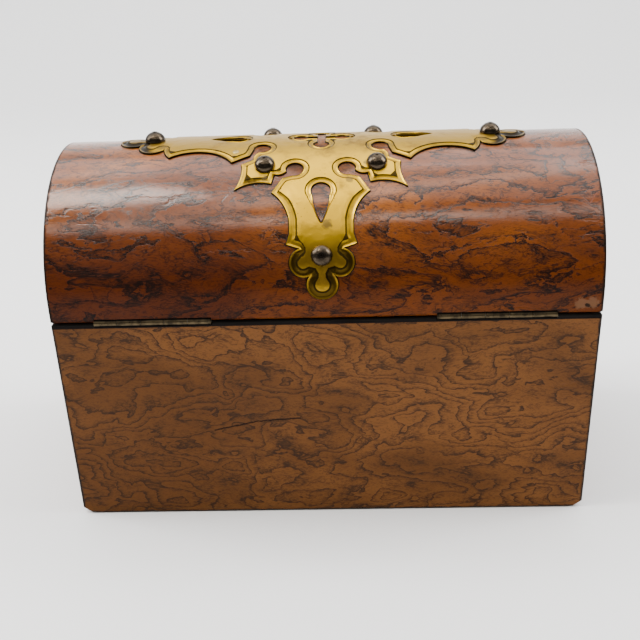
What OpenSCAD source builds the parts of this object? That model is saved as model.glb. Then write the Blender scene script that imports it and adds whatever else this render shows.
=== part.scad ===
// Desk letter box with a barrel lid. A plain wooden carcase is veneered in burr
// wood, the coopered lid swings on two butt hinges let into the back, and a
// pierced brass mount with domed studs is bent over the lid.
// X runs along the hinge line, +Y is the hinge side, -Y the lock side, +Z is up.
// The origin is the middle of the underside. All lengths are millimetres.

/* [Box] */
// Width of the box along the hinge line
box_w = 236; // [220:1:300]
// Depth of the box, which is also the diameter of the barrel lid
box_d = 116; // [115:1:118]
// Height from the table to the rim of the base
base_h = 100; // [92:1:130]
// Straight part of the lid under the half round
lid_riser = 5; // [4:0.5:9]
// Open joint between the rim of the base and the lid
joint_gap = 0.5; // [0.3:0.1:0.8]
// Chamfer that meets the joint on both sides and stops the open lid
joint_chamfer = 0.8; // [0.7:0.1:0.8]
// Radius of the upright and barrel arrises
arris_r = 0.8; // [0.4:0.1:0.8]

/* [Boards] */
// Thickness of the carcase boards
board_t = 8; // [8:0.5:10]
// Thickness of the bottom board
bottom_t = 6; // [5:0.5:9]
// Thickness of the burr veneer
veneer_t = 0.9; // [0.8:0.1:1.2]
// Thickness of the baize under the box
baize_t = 0.6; // [0.5:0.1:1]
// How far the baize stays in from the edge
baize_inset = 0.8; // [0.5:0.1:3]
// Height of the ebonised facing round the rim of the base
facing_h = 2.2; // [2.1:0.1:3]
// Thickness of the lid staves, rails and ends
stave_t = 7.6; // [7:0.1:7.6]
// Number of staves in the lid
stave_count = 8; // [6:1:12]
// Angle of the barrel that each lid rail takes up
rail_angle = 10; // [8:1:14]
// Thickness of the paper in the lid
lid_paper_t = 0.5; // [0.4:0.1:0.6]

/* [Worn corners] */
// Width that the bottom corners have lost
worn_x = 5; // [2:0.5:6]
// Length of the loss along the ends
worn_y = 14; // [6:1:18]
// Height of the loss
worn_z = 3.8; // [2:0.1:4.2]

/* [Inside] */
// Thickness of the lining boards
lining_t = 3; // [2.5:0.1:4]
// How far the lining stands above the rim to locate the lid
lip_h = 3; // [1.5:0.5:3]
// Thickness of the sheet on the floor
floor_t = 0.5; // [0.4:0.1:1]
// Thickness of the letter dividers
divider_t = 3; // [2.5:0.1:4]
// Depth of the grooves that hold the dividers
groove_t = 1.5; // [1:0.1:1.8]
// Free play of a divider in its groove
divider_play = 0.1; // [0.05:0.05:0.2]
// Front divider: height of its ears above the table
divider_front_h = 70; // [50:1:80]
// Middle divider: height of its ears above the table
divider_middle_h = 87; // [70:1:92]
// Rear divider: height of its ears above the table
divider_rear_h = 104; // [80:1:110]
// Depth of the scoop in the top edge of each divider
scoop_h = 9; // [4:1:14]
// Width of the scoop
scoop_w = 120; // [80:5:150]

/* [Hinges] */
// Length of each butt hinge
hinge_l = 50.8; // [40:0.1:56]
// Distance from each end of the box to the middle of its hinge
hinge_from_end = 44.4; // [40:0.1:54]
// Outer radius of the knuckles
knuckle_r = 1.6; // [1.5:0.05:1.7]
// Radius of the hinge pin
hinge_pin_r = 0.75; // [0.6:0.05:0.9]
// Running clearance round the pin
pin_clear = 0.05; // [0.02:0.01:0.08]
// Thickness of a hinge leaf
leaf_t = 1; // [0.8:0.1:1.1]
// Width of a leaf from the pin
leaf_w = 7.2; // [6.8:0.1:7.2]
// How far the pin sits inside the back face
pin_inset = 0.6; // [0.4:0.1:0.6]
// Space between the folded leaves
leaf_gap = 0.2; // [0.1:0.05:0.3]
// Number of knuckles in a hinge
knuckle_count = 5; // [3:2:7]
// Gap between neighbouring knuckles
knuckle_gap = 0.2; // [0.1:0.05:0.4]

/* [Screws] */
// Radius of a screw head
screw_head_r = 1.9; // [1.6:0.1:2]
// Radius of a screw shank
screw_r = 0.9; // [0.7:0.05:1]
// Length of a screw under its head
screw_l = 6; // [4:0.5:7]
// Width of the slot in a screw head
screw_slot = 0.5; // [0.3:0.1:0.6]

/* [Lock] */
// Half width of the lock case
lock_half_w = 20; // [20:0.5:24]
// Height of the lock case
lock_h = 26; // [24:1:32]
// Thickness of the lock case from plate to cap
lock_t = 6; // [6:0.1:6.4]
// Wall of the lock case
lock_wall = 1; // [0.8:0.1:1.1]
// Thickness of the selvage let into the rim
selvage_t = 1.4; // [1.2:0.1:1.6]
// Half length of the selvage
selvage_half_l = 27; // [26:0.5:32]
// Travel of the bolt
bolt_travel = 4.5; // [3.5:0.1:4.6]
// Distance of each staple from the middle of the lock
staple_x = 9; // [8:0.5:9]
// Thickness of a staple along the bolt's travel
staple_t = 1.6; // [1.2:0.1:1.8]
// How far the staples hang below the lid
staple_drop = 7; // [6.6:0.1:8]
// Thickness of the link plate let into the lid
link_t = 1.2; // [1:0.1:1.6]
// Half length of the link plate
link_half_l = 20; // [18:0.5:24]
// Radius of the drill pin that the key turns on
drill_r = 1.1; // [0.8:0.1:1.3]
// Radius of the round part of the keyhole
keyhole_r = 2.2; // [1.8:0.1:2.4]
// Length of the slot under the keyhole
keyhole_slot = 6; // [4:0.5:7]
// Thickness of the keyhole plate on the front
key_plate_t = 0.8; // [0.6:0.1:0.8]
// Radius of the four lobes of the keyhole plate
key_lobe_r = 6; // [5:0.5:7]

/* [Brass mount] */
// Thickness of the pierced mount
mount_t = 1.2; // [0.8:0.1:1.4]
// Bare veneer between the tip of each strap and the joint
strap_to_joint = 9.1; // [9:0.1:10]
// Bare veneer between the tip of each arm and the end of the box
arm_to_end = 26.5; // [18:0.5:30]
// Radius of the studs
stud_r = 4.6; // [3:0.1:4.8]
// Height of the studs over the mount
stud_h = 4.3; // [2:0.1:4.5]
// Radius of a stud's shank
stud_shank_r = 1.2; // [0.8:0.1:1.4]
// Depth of a stud's shank in the lid
stud_depth = 6.5; // [4:0.5:7]
// Distance of the leaf studs from the middle of the mount, along the ridge
leaf_stud_x = 24.2; // [23:0.1:25]
// Distance of the leaf studs from the ridge, over the curve
leaf_stud_s = 26; // [25:0.1:27]
// Radius of the small pin beside the left shoulder, seen from the back
mount_pin_r = 1.4; // [1:0.1:1.8]

/* [Hidden] */
$fn = 96;
e = 1;                                  // reach of a cut past the face that it opens
fit = 0.1;                              // play of a piece let into another
dome_r = box_d / 2;
hinge_x = box_w / 2 - hinge_from_end;
spring_z = base_h + joint_gap + lid_riser;
lid_z = base_h + joint_gap;
joint_z = base_h + joint_gap / 2;
core_w = box_w - 2 * veneer_t;
core_d = box_d - 2 * veneer_t;
floor_z = baize_t + bottom_t;
board_top = base_h - facing_h;
in_w = core_w - 2 * board_t;
in_d = core_d - 2 * board_t;
room_w = in_w - 2 * lining_t;
room_d = in_d - 2 * lining_t;
core_r = dome_r - veneer_t;
lid_in_r = core_r - stave_t;
lid_in_w = core_w - 2 * stave_t;
slot_d = (room_d - 3 * divider_t) / 4;
pin_y = box_d / 2 - pin_inset;
knuckle_l = hinge_l / knuckle_count;
knuckle_room = knuckle_r + 0.2;
leaf_top = joint_z - leaf_gap / 2;
screw_y = pin_y - (leaf_w + knuckle_r) / 2;
screw_pitch = hinge_l * 0.36;
lock_back = -in_d / 2 - 0.2;
lock_y = lock_back - lock_t / 2;
lock_top = base_h - selvage_t;
lock_room = lock_t - 2 * lock_wall;
key_z = lock_top - 16;
bolt_t = lock_room / 2;
bolt_z = lock_top - 10.6;
bolt_h = 4;
bolt_end = 8;                           // right-hand end of the bolt's bar at rest
prong_z = lock_top - 3.8;
prong_h = 2;
prong_w = 1.6;
prong_tip = staple_x - staple_t / 2 - 0.6;
prong_l = 5.2;
arm_w = 3;
staple_w = lock_room - 0.8;
eye_h = 2.8;
eye_w = 2.2;
skin = 0.04;                            // lift of the mount's flats over the veneer
mitre_gap = 0.05;                       // glue line in the mitres of the facing
glue = 0.03;                            // half of a glue line between staves, as an angle
strap_lap = 1.2;                        // angle over which the two parts of a strap overlap
strap_turn = 56;                        // angle on the barrel where the strap's lower part starts
strap_reach = dome_r * PI / 2 + lid_riser - strap_to_joint;
arm_reach = box_w / 2 - arm_to_end;
strap_stud_back = 18.5;                 // from the tip of a strap to its stud
arm_stud_back = 15.5;                   // from the tip of an arm to its stud
strap_stud_s = strap_reach - strap_stud_back;
arm_stud_x = arm_reach - arm_stud_back;

// Colours of the finishes
burr = "#9c5a26";
burr_back = "#8a5730";
ground = "#a9794a";
ebonised = "#2a2522";
mahogany = "#7a4226";
aged_brass = "#c9a548";
old_brass = "#8c7340";
bronze = "#4b443c";
steel = "#77736c";

// Box of the given size, centred in X and Y, standing on z
module slab(w, d, z0, z1) {
    translate([-w / 2, -d / 2, z0]) cube([w, d, z1 - z0]);
}

// Box between two corners
module block(lo, hi) {
    translate(lo) cube(hi - lo);
}

// Rectangle with rounded corners
module rounded(w, d, r) {
    square([w - 2 * r, d], center = true);
    square([w, d - 2 * r], center = true);
    for (sx = [-1, 1], sy = [-1, 1])
        translate([sx * (w / 2 - r), sy * (d / 2 - r)]) circle(r);
}

// Four bottom corners knocked off by use, one plane each
module worn_corners() {
    n = [1 / worn_x, 1 / worn_y, -1 / worn_z];
    turn = atan2(n[1], n[0]);
    lean = acos(n[2] / norm(n));
    for (mx = [0, 1], my = [0, 1])
        mirror([mx, 0, 0]) mirror([0, my, 0])
            translate([box_w / 2 - worn_x, box_d / 2, 0])
                rotate([0, lean, turn])
                    translate([-20, -20, 0]) cube([40, 40, 20]);
}

// Chamfer all round the outer arris at height z; up = 1 cuts an arris that faces
// down, up = -1 one that faces up
module chamfer_cut(z, up) {
    c = joint_chamfer;
    for (k = [[box_d, box_w, 0], [box_w, box_d, 90]])
        for (s = [0, 180])
            translate([0, 0, z]) rotate([0, 0, k[2] + s])
                rotate([90, 0, 90])
                    linear_extrude(height = k[1] + 2 * e, center = true)
                        polygon([[k[0] / 2 - c - e, -up * e], [k[0] / 2 + e, -up * e],
                                 [k[0] / 2 + e, up * (c + e)]]);
}

// Screw with a countersunk head whose flat faces up at z = 0
module screw() {
    difference() {
        union() {
            translate([0, 0, -leaf_t]) cylinder(h = leaf_t, r1 = screw_r, r2 = screw_head_r);
            translate([0, 0, -leaf_t - screw_l]) cylinder(h = screw_l + 0.01, r = screw_r);
        }
        translate([-screw_head_r - e, -screw_slot / 2, -0.4])
            cube([2 * screw_head_r + 2 * e, screw_slot, 0.4 + e]);
    }
}

// Hole that the screw fills, with a little room
module screw_hole() {
    g = 0.05;
    translate([0, 0, -leaf_t - g]) cylinder(h = leaf_t + g, r1 = screw_r + g, r2 = screw_head_r + 2 * g);
    cylinder(h = e, r = screw_head_r + 2 * g);
    translate([0, 0, -leaf_t - screw_l - g]) cylinder(h = screw_l + leaf_t, r = screw_r + g);
}

// Places on the hinges where the screws go
module at_hinge_screws() {
    for (side = [-1, 1], k = [-1, 0, 1])
        translate([side * hinge_x + k * screw_pitch, screw_y, 0]) children();
}

// Space that the two base leaves and their knuckles take out of the base
module base_hinge_room() {
    for (side = [-1, 1]) {
        x0 = side * hinge_x - hinge_l / 2 - fit;
        x1 = side * hinge_x + hinge_l / 2 + fit;
        block([x0, pin_y - leaf_w - fit, leaf_top - leaf_t], [x1, box_d / 2 + e, base_h + e]);
        block([x0, pin_y - knuckle_room, joint_z - knuckle_room], [x1, box_d / 2 + e, base_h + e]);
    }
    at_hinge_screws() translate([0, 0, leaf_top]) screw_hole();
}

// The same for the lid
module lid_hinge_room() {
    translate([0, 0, 2 * joint_z]) mirror([0, 0, 1]) {
        for (side = [-1, 1]) {
            x0 = side * hinge_x - hinge_l / 2 - fit;
            x1 = side * hinge_x + hinge_l / 2 + fit;
            block([x0, pin_y - leaf_w - fit, leaf_top - leaf_t], [x1, box_d / 2 + e, base_h + e]);
            block([x0, pin_y - knuckle_room, joint_z - knuckle_room],
                  [x1, box_d / 2 + e, base_h + e]);
        }
        at_hinge_screws() translate([0, 0, leaf_top]) screw_hole();
    }
}

// Outline of the keyhole: a round with a slot below it, cut along Y
module keyhole_cut(y0, y1, grow) {
    translate([0, y1, key_z]) rotate([90, 0, 0])
        linear_extrude(height = y1 - y0) {
            circle(keyhole_r + grow);
            translate([-keyhole_r / 2 - grow, -keyhole_slot - grow])
                square([keyhole_r + 2 * grow, keyhole_slot]);
        }
}

// Pocket for the lock in the front of the base
module lock_room_cut() {
    block([-lock_half_w - fit, lock_back - lock_t - fit, lock_top - lock_h - fit],
          [lock_half_w + fit, -in_d / 2 + e, lock_top + e]);
    block([-selvage_half_l - fit, lock_back - lock_t - fit, lock_top],
          [selvage_half_l + fit, -in_d / 2 + e, base_h + e]);
    for (s = [-1, 1])
        translate([s * (selvage_half_l - 3.5), lock_y, base_h]) screw_hole();
}

// Boards of the carcase
module base_front() {
    color(ground) difference() {
        block([-core_w / 2, -core_d / 2, floor_z], [core_w / 2, -in_d / 2, board_top]);
        lock_room_cut();
        keyhole_cut(-core_d / 2 - e, -in_d / 2, 0.3);
    }
}
module base_back() {
    color(ground) difference() {
        block([-core_w / 2, in_d / 2, floor_z], [core_w / 2, core_d / 2, board_top]);
        base_hinge_room();
    }
}
module base_end() {
    block([in_w / 2, -in_d / 2, floor_z], [core_w / 2, in_d / 2, board_top]);
}
module base_left() {
    color(ground) mirror([1, 0, 0]) base_end();
}
module base_right() {
    color(ground) base_end();
}
module base_bottom() {
    color(ground) difference() {
        slab(core_w, core_d, baize_t, floor_z);
        worn_corners();
    }
}
module base_baize() {
    color("#3b4a3a") difference() {
        slab(box_w - 2 * baize_inset, box_d - 2 * baize_inset, 0, baize_t);
        worn_corners();
    }
}

// Veneers of the base. The long ones run over the ends of the short ones.
module rounded_post() {
    linear_extrude(height = base_h) rounded(box_w, box_d, arris_r);
}
module veneer_front() {
    color(burr) difference() {
        intersection() {
            block([-box_w / 2, -box_d / 2, baize_t], [box_w / 2, -core_d / 2, board_top]);
            rounded_post();
        }
        worn_corners();
        keyhole_cut(-box_d / 2 - e, -core_d / 2 + e, 0.3);
    }
}
module veneer_back() {
    color(burr_back) difference() {
        intersection() {
            block([-box_w / 2, core_d / 2, baize_t], [box_w / 2, box_d / 2, board_top]);
            rounded_post();
        }
        worn_corners();
    }
}
module veneer_end() {
    difference() {
        block([core_w / 2, -core_d / 2, baize_t], [box_w / 2, core_d / 2, board_top]);
        worn_corners();
    }
}
module veneer_left() {
    color(burr_back) mirror([1, 0, 0]) veneer_end();
}
module veneer_right() {
    color(burr_back) veneer_end();
}

// Ebonised facing of the rim: four mitred strips
module rim_facing() {
    w = box_w / 2;
    d = box_d / 2;
    t = veneer_t + board_t;
    long_strip = [[-w, -d], [w, -d], [w - t, t - d], [t - w, t - d]];
    g = mitre_gap;
    short_strip = [[-w, g - d], [t - w, t - d + g], [t - w, d - t - g], [-w, d - g]];
    color(ebonised)
        for (outline = [long_strip, short_strip], turn = [0, 180])
            difference() {
                intersection() {
                    rotate([0, 0, turn]) translate([0, 0, board_top])
                        linear_extrude(height = facing_h) polygon(outline);
                    rounded_post();
                }
                chamfer_cut(base_h, -1);
                base_hinge_room();
                lock_room_cut();
            }
}

// Lining boards. The front and end ones stand above the rim and locate the lid.
module lining_front() {
    color(mahogany)
        block([-in_w / 2, -in_d / 2, floor_z], [in_w / 2, -room_d / 2, base_h + lip_h]);
}
module lining_back() {
    color(mahogany)
        block([-in_w / 2, room_d / 2, floor_z], [in_w / 2, in_d / 2, base_h - 0.5]);
}
function divider_y(k) = -room_d / 2 + k * slot_d + (k - 0.5) * divider_t;
module lining_end() {
    difference() {
        block([room_w / 2, -room_d / 2, floor_z], [in_w / 2, room_d / 2, base_h + lip_h]);
        for (k = [1, 2, 3])
            block([room_w / 2 - e, divider_y(k) - divider_t / 2 - divider_play, floor_z - e],
                  [room_w / 2 + groove_t, divider_y(k) + divider_t / 2 + divider_play,
                   base_h + lip_h + e]);
    }
}
module lining_left() {
    color(mahogany) mirror([1, 0, 0]) lining_end();
}
module lining_right() {
    color(mahogany) lining_end();
}
module floor_paper() {
    color("#d8cbb0") slab(room_w, room_d, floor_z, floor_z + floor_t);
}

// Letter divider with a scoop between two ears; k counts from the front
module divider(k, top) {
    w = room_w + 2 * groove_t - 2 * divider_play;
    y = divider_y(k);
    r = (scoop_w * scoop_w / 4 + scoop_h * scoop_h) / (2 * scoop_h);
    difference() {
        block([-w / 2, y - divider_t / 2, floor_z + floor_t], [w / 2, y + divider_t / 2, top]);
        translate([0, y + divider_t, top - scoop_h + r]) rotate([90, 0, 0])
            cylinder(h = 2 * divider_t, r = r);
    }
}
module divider_front() {
    color(mahogany) divider(1, divider_front_h);
}
module divider_middle() {
    color(mahogany) divider(2, divider_middle_h);
}
module divider_rear() {
    color(mahogany) divider(3, divider_rear_h);
}

// Keyhole plate: four lobes round the keyhole, let on to the front veneer
module key_plate_outline() {
    for (a = [0, 90, 180, 270]) rotate(a) translate([key_lobe_r, 0]) circle(key_lobe_r);
    rotate(45) square(key_lobe_r * 2.6, center = true);
}
module keyhole_plate() {
    color(aged_brass) difference() {
        translate([0, -box_d / 2, key_z]) rotate([90, 0, 0])
            linear_extrude(height = key_plate_t) key_plate_outline();
        keyhole_cut(-box_d / 2 - key_plate_t - e, -box_d / 2 + e, 0);
        at_plate_pins() cylinder(h = 4, r = 0.65, center = true);
    }
}
// Pins of the keyhole plate, pointing into the front; local +Z is outwards
module at_plate_pins() {
    for (a = [0, 90, 180, 270])
        translate([0, -box_d / 2 - key_plate_t, key_z]) rotate([90, 0, 0])
            rotate([0, 0, a]) translate([key_lobe_r * 1.55, 0, 0]) children();
}
module keyhole_plate_pins() {
    color(old_brass) at_plate_pins() {
        cylinder(h = 0.25, r1 = 0.95, r2 = 0.6);
        translate([0, 0, -key_plate_t]) cylinder(h = key_plate_t + 0.01, r = 0.55);
    }
}

// Box lock: a case let into the front from inside, its cap, and the selvage
module lock_case() {
    y0 = lock_back - lock_t;
    y1 = lock_back - lock_wall;
    z0 = lock_top - lock_h;
    color(old_brass) difference() {
        block([-lock_half_w, y0, z0], [lock_half_w, y1, lock_top]);
        block([lock_wall - lock_half_w, y0 + lock_wall, z0 + lock_wall],
              [lock_half_w - lock_wall, y1 + e, lock_top + e]);
        keyhole_cut(y0 - e, y0 + lock_wall + e, 0.2);
    }
}
module lock_cap() {
    z0 = lock_top - lock_h;
    color(old_brass)
        block([-lock_half_w, lock_back - lock_wall, z0], [lock_half_w, lock_back, lock_top]);
}
module lock_selvage() {
    y0 = lock_back - lock_t;
    color(aged_brass) difference() {
        block([-selvage_half_l, y0, lock_top], [selvage_half_l, lock_back, base_h]);
        for (s = [-1, 1])
            block([s * staple_x - staple_t / 2 - 0.4, lock_y - staple_w / 2 - 0.4, lock_top - e],
                  [s * staple_x + staple_t / 2 + 0.4, lock_y + staple_w / 2 + 0.4, base_h + e]);
        for (s = [-1, 1])
            translate([s * (selvage_half_l - 3.5), lock_y, base_h]) screw_hole();
    }
}
// Bolt with two prongs that pass through the eyes of the staples
module lock_bolt() {
    bar_x0 = -staple_x - staple_t / 2 - 0.6 - prong_l - arm_w;
    y0 = lock_y - bolt_t / 2;
    color(steel) difference() {
        union() {
            block([bar_x0, y0, bolt_z], [bolt_end, y0 + bolt_t, bolt_z + bolt_h]);
            for (s = [-1, 1]) {
                tip = s * staple_x - staple_t / 2 - 0.6;
                block([tip - prong_l - arm_w, y0, bolt_z],
                      [tip - prong_l, y0 + bolt_t, prong_z + prong_h / 2]);
                block([tip - prong_l - arm_w, lock_y - prong_w / 2, prong_z - prong_h / 2],
                      [tip, lock_y + prong_w / 2, prong_z + prong_h / 2]);
            }
        }
        translate([-2, lock_y, bolt_z - 1]) rotate([90, 0, 0])
            cylinder(h = 2 * lock_t, r = 2.6, center = true);
    }
}
// Leaf spring under the bolt
module lock_spring() {
    x0 = lock_wall - lock_half_w;
    color(steel) translate([0, lock_y + 0.8, 0]) rotate([90, 0, 0])
        linear_extrude(height = 1.6)
            polygon([[x0, key_z + 1], [x0 + 3, key_z + 1], [x0 + 12, bolt_z - 0.8],
                     [x0 + 12, bolt_z - 0.3], [x0 + 2.7, key_z + 2], [x0, key_z + 2]]);
}
module lock_drill_pin() {
    color(steel) translate([0, lock_back - lock_wall, key_z]) rotate([90, 0, 0])
        cylinder(h = lock_t + 1, r = drill_r);
}
module lock_screws() {
    color(old_brass)
        for (s = [-1, 1])
            translate([s * (selvage_half_l - 3.5), lock_y, base_h]) screw();
}

// Plate in the lid with the two staples that the bolt catches
module link_plate() {
    w = 5.4;
    color(aged_brass) {
        difference() {
            block([-link_half_l, lock_y - w / 2, lid_z], [link_half_l, lock_y + w / 2, lid_z + link_t]);
            at_link_screws() screw_hole();
        }
        for (s = [-1, 1])
            difference() {
                block([s * staple_x - staple_t / 2, lock_y - staple_w / 2, lid_z - staple_drop],
                      [s * staple_x + staple_t / 2, lock_y + staple_w / 2, lid_z + 0.01]);
                block([s * staple_x - e, lock_y - eye_w / 2, prong_z - eye_h / 2],
                      [s * staple_x + e, lock_y + eye_w / 2, prong_z + eye_h / 2]);
            }
    }
}
module at_link_screws() {
    for (s = [-1, 1])
        translate([s * (link_half_l - 3.5), lock_y, lid_z]) mirror([0, 0, 1]) children();
}
module link_screws() {
    color(old_brass) at_link_screws() screw();
}

// Butt hinges: leaves, knuckles and pin
module knuckle(k, r) {
    translate([k * knuckle_l + knuckle_gap / 2, pin_y, joint_z]) rotate([0, 90, 0])
        cylinder(h = knuckle_l - knuckle_gap, r = r);
}
// Leaf with every second knuckle from number first, lying under the pin's plane
module base_leaf(side, first) {
    difference() {
        translate([side * hinge_x - hinge_l / 2, 0, 0]) {
            difference() {
                block([0, pin_y - leaf_w, leaf_top - leaf_t], [hinge_l, pin_y, leaf_top]);
                for (k = [1 - first : 2 : knuckle_count - 1])
                    block([k * knuckle_l - knuckle_gap / 2, pin_y - knuckle_room, leaf_top - 2 * leaf_t],
                          [(k + 1) * knuckle_l + knuckle_gap / 2, pin_y + e, leaf_top + e]);
            }
            for (k = [first : 2 : knuckle_count - 1]) knuckle(k, knuckle_r);
        }
        translate([side * hinge_x, pin_y, joint_z]) rotate([0, 90, 0])
            cylinder(h = hinge_l + 2 * e, r = hinge_pin_r + pin_clear, center = true);
        at_hinge_screws() translate([0, 0, leaf_top]) screw_hole();
    }
}
module lid_leaf(side, first) {
    translate([0, 0, 2 * joint_z]) mirror([0, 0, 1]) base_leaf(side, first);
}
module hinge_pin(side) {
    translate([side * hinge_x, pin_y, joint_z]) rotate([0, 90, 0])
        cylinder(h = hinge_l - knuckle_gap, r = hinge_pin_r, center = true);
}
module hinge_left_base_leaf() {
    color(old_brass) base_leaf(-1, 0);
}
module hinge_left_lid_leaf() {
    color(old_brass) lid_leaf(-1, 1);
}
module hinge_left_pin() {
    color(steel) hinge_pin(-1);
}
module hinge_right_base_leaf() {
    color(old_brass) base_leaf(1, 0);
}
module hinge_right_lid_leaf() {
    color(old_brass) lid_leaf(1, 1);
}
module hinge_right_pin() {
    color(steel) hinge_pin(1);
}
module hinge_base_screws() {
    color(old_brass) at_hinge_screws() translate([0, 0, leaf_top]) screw();
}
module hinge_lid_screws() {
    color(old_brass) translate([0, 0, 2 * joint_z]) mirror([0, 0, 1])
        at_hinge_screws() translate([0, 0, leaf_top]) screw();
}

// Part of a barrel round the lid's axis, from angle a0 to a1 off the vertical towards
// the back; children(0) is its section, with the radius along X and the axis along Y
module barrel(a0, a1) {
    translate([0, 0, spring_z]) rotate([180 - a1, 0, 0]) rotate([0, 90, 0])
        rotate_extrude(angle = a1 - a0) children();
}
// The same section carried straight down from the spring line, at the back
module riser() {
    translate([0, 0, lid_z]) linear_extrude(height = lid_riser)
        rotate(90) children();
}
// Studs and pins on the lid: x along the ridge, s over the curve from the ridge;
// local +Z stands square to the lid and z = 0 is the veneer
module on_lid(x, s) {
    translate([0, 0, spring_z]) rotate([-s / dome_r * 180 / PI, 0, 0])
        translate([x, 0, dome_r]) children();
}

module wall_section() {
    translate([lid_in_r, -core_w / 2]) square([stave_t, core_w]);
}
module back_rail() {
    difference() {
        union() {
            barrel(90 - rail_angle, 90) wall_section();
            riser() wall_section();
        }
        lid_hinge_room();
    }
}
module lid_back_rail() {
    color(ground) back_rail();
}
module lid_front_rail() {
    color(ground) difference() {
        mirror([0, 1, 0]) {
            barrel(90 - rail_angle, 90) wall_section();
            riser() wall_section();
        }
        block([-link_half_l - fit, lock_y - 2.7 - fit, lid_z - e],
              [link_half_l + fit, lock_y + 2.7 + fit, lid_z + link_t]);
        at_link_screws() screw_hole();
    }
}
module lid_staves() {
    a = 90 - rail_angle;
    step = 2 * a / stave_count;
    color(ground) difference() {
        for (k = [0 : stave_count - 1])
            barrel(-a + k * step + glue, -a + (k + 1) * step - glue) wall_section();
        shank_holes(0.05);
    }
}
// End of the lid, at the +X side
module lid_end() {
    translate([lid_in_w / 2, 0, spring_z]) rotate([90, 0, 90])
        linear_extrude(height = stave_t) {
            intersection() {
                circle(lid_in_r);
                translate([-dome_r, 0]) square([box_d, dome_r]);
            }
            translate([-lid_in_r, -lid_riser]) square([2 * lid_in_r, lid_riser]);
        }
}
module lid_left_end() {
    color(ground) mirror([1, 0, 0]) lid_end();
}
module lid_right_end() {
    color(ground) lid_end();
}

// Burr veneer bent over the lid, one sheet from joint to joint
module skin_section() {
    intersection() {
        translate([core_r, -box_w / 2]) square([veneer_t, box_w]);
        translate([0, 0]) rounded(box_d, box_w, arris_r);
    }
}
module lid_dome_veneer() {
    color(burr) difference() {
        union() {
            barrel(-90, 90) skin_section();
            riser() skin_section();
            mirror([0, 1, 0]) riser() skin_section();
        }
        chamfer_cut(lid_z, 1);
        lid_hinge_room();
        shank_holes(0.1);
    }
}
module lid_end_veneer() {
    difference() {
        translate([core_w / 2, 0, spring_z]) rotate([90, 0, 90])
            linear_extrude(height = veneer_t) {
                intersection() {
                    circle(core_r);
                    translate([-dome_r, 0]) square([box_d, dome_r]);
                }
                translate([-core_r, -lid_riser]) square([2 * core_r, lid_riser]);
            }
        chamfer_cut(lid_z, 1);
    }
}
module lid_left_veneer() {
    color(burr_back) mirror([1, 0, 0]) lid_end_veneer();
}
module lid_right_veneer() {
    color(burr_back) lid_end_veneer();
}

// Paper pasted inside the staves
module lid_paper() {
    a = 90 - rail_angle;
    w = lid_in_w - 0.4;
    color("#cdbf9f") barrel(-a, a)
        translate([lid_in_r - lid_paper_t, -w / 2]) square([lid_paper_t, w]);
}

// Points from p to q, without q, on the arc that stands h to the left of the chord
function bow(p, q, h, n = 8) =
    let (c = norm(q - p), r = c * c / (8 * abs(h)) + abs(h) / 2, d = (q - p) / c,
         side = sign(h) * [-d[1], d[0]], m = (p + q) / 2 + side * (abs(h) - r),
         a0 = atan2(p[1] - m[1], p[0] - m[0]), a1 = atan2(q[1] - m[1], q[0] - m[0]),
         turn = (a1 - a0 + 540) % 360 - 180)
    [for (k = [0 : n - 1]) m + r * [cos(a0 + turn * k / n), sin(a0 + turn * k / n)]];
function arc(c, r, a0, a1, n) =
    [for (k = [0 : n - 1]) c + r * [cos(a0 + (a1 - a0) * k / n), sin(a0 + (a1 - a0) * k / n)]];
function swap(p) = [for (q = p) [q[1], q[0]]];
function back_to_front(p) = [for (k = [len(p) - 1 : -1 : 0]) p[k]];

// Half of an arm in [along, aside], after the points of its hollow side: shoulder, side
// lobe and pointed tip
function half_arm(side, shoulder, bulge, reach) =
    let (neck = [reach - 21.5, 9], lobe = [reach - 15.6, 7.7], lobe_r = 6,
         waist = [reach - 10.6, 4.8], from_neck = neck - lobe, from_waist = waist - lobe,
         a0 = atan2(from_neck[1], from_neck[0]), a1 = atan2(from_waist[1], from_waist[0]))
    concat(side, bow(shoulder, neck, bulge, 4), arc(lobe, lobe_r, a0, a1, 14),
           bow(waist, [reach, 0], 4, 8), [[reach, 0]]);

// One quarter of the mount in [x, s], from the strap's tip past the leaf to the arm's
strap_cusp = [40.6, 20.8];
strap_shoulder = [strap_reach - 23.4, 14.8];
strap_waist = 13.4;
strap_run = [strap_turn - 3, strap_turn + 2.6] * dome_r * PI / 180;
strap_side = concat(bow(strap_cusp, [strap_run[0], strap_waist], -1.45, 8),
                    [[strap_run[0], strap_waist], [strap_run[1], strap_waist]]);
function half_strap() = swap(half_arm(strap_side, strap_shoulder, 0.05, strap_reach));
arm_cusp = [39, 22.7];
arm_shoulder = [arm_reach - 24.5, 18];
round_r = 4;
round_a = [11.2, 28.1];
round_b = [26, 12];
leaf_points = [[20.1, 30.9], [21.3, 36], [36.8, 38.8], [34.4, 24.6], [29.3, 21.6]];
lobe_a = round_a + round_r * [cos(18), sin(18)];
lobe_b = round_b + round_r * [cos(75), sin(75)];
function quarter() = concat(
    back_to_front(half_strap()),
    [[16.3, 33.2]],
    arc(round_a, round_r, 80, 378, 20),
    bow(lobe_a, leaf_points[0], 0.9, 4),
    [leaf_points[0]],
    bow(leaf_points[1], leaf_points[2], -1.9, 8),
    bow(leaf_points[2], leaf_points[3], -1.35, 8),
    [leaf_points[3]],
    bow(leaf_points[4], lobe_b, 0.9, 4),
    arc(round_b, round_r, 75, 375, 20),
    [[31.3, 18]],
    half_arm(bow(arm_cusp, arm_shoulder, -6.4, 10), arm_shoulder, 1, arm_reach),
    [[0, 0]]);

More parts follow.
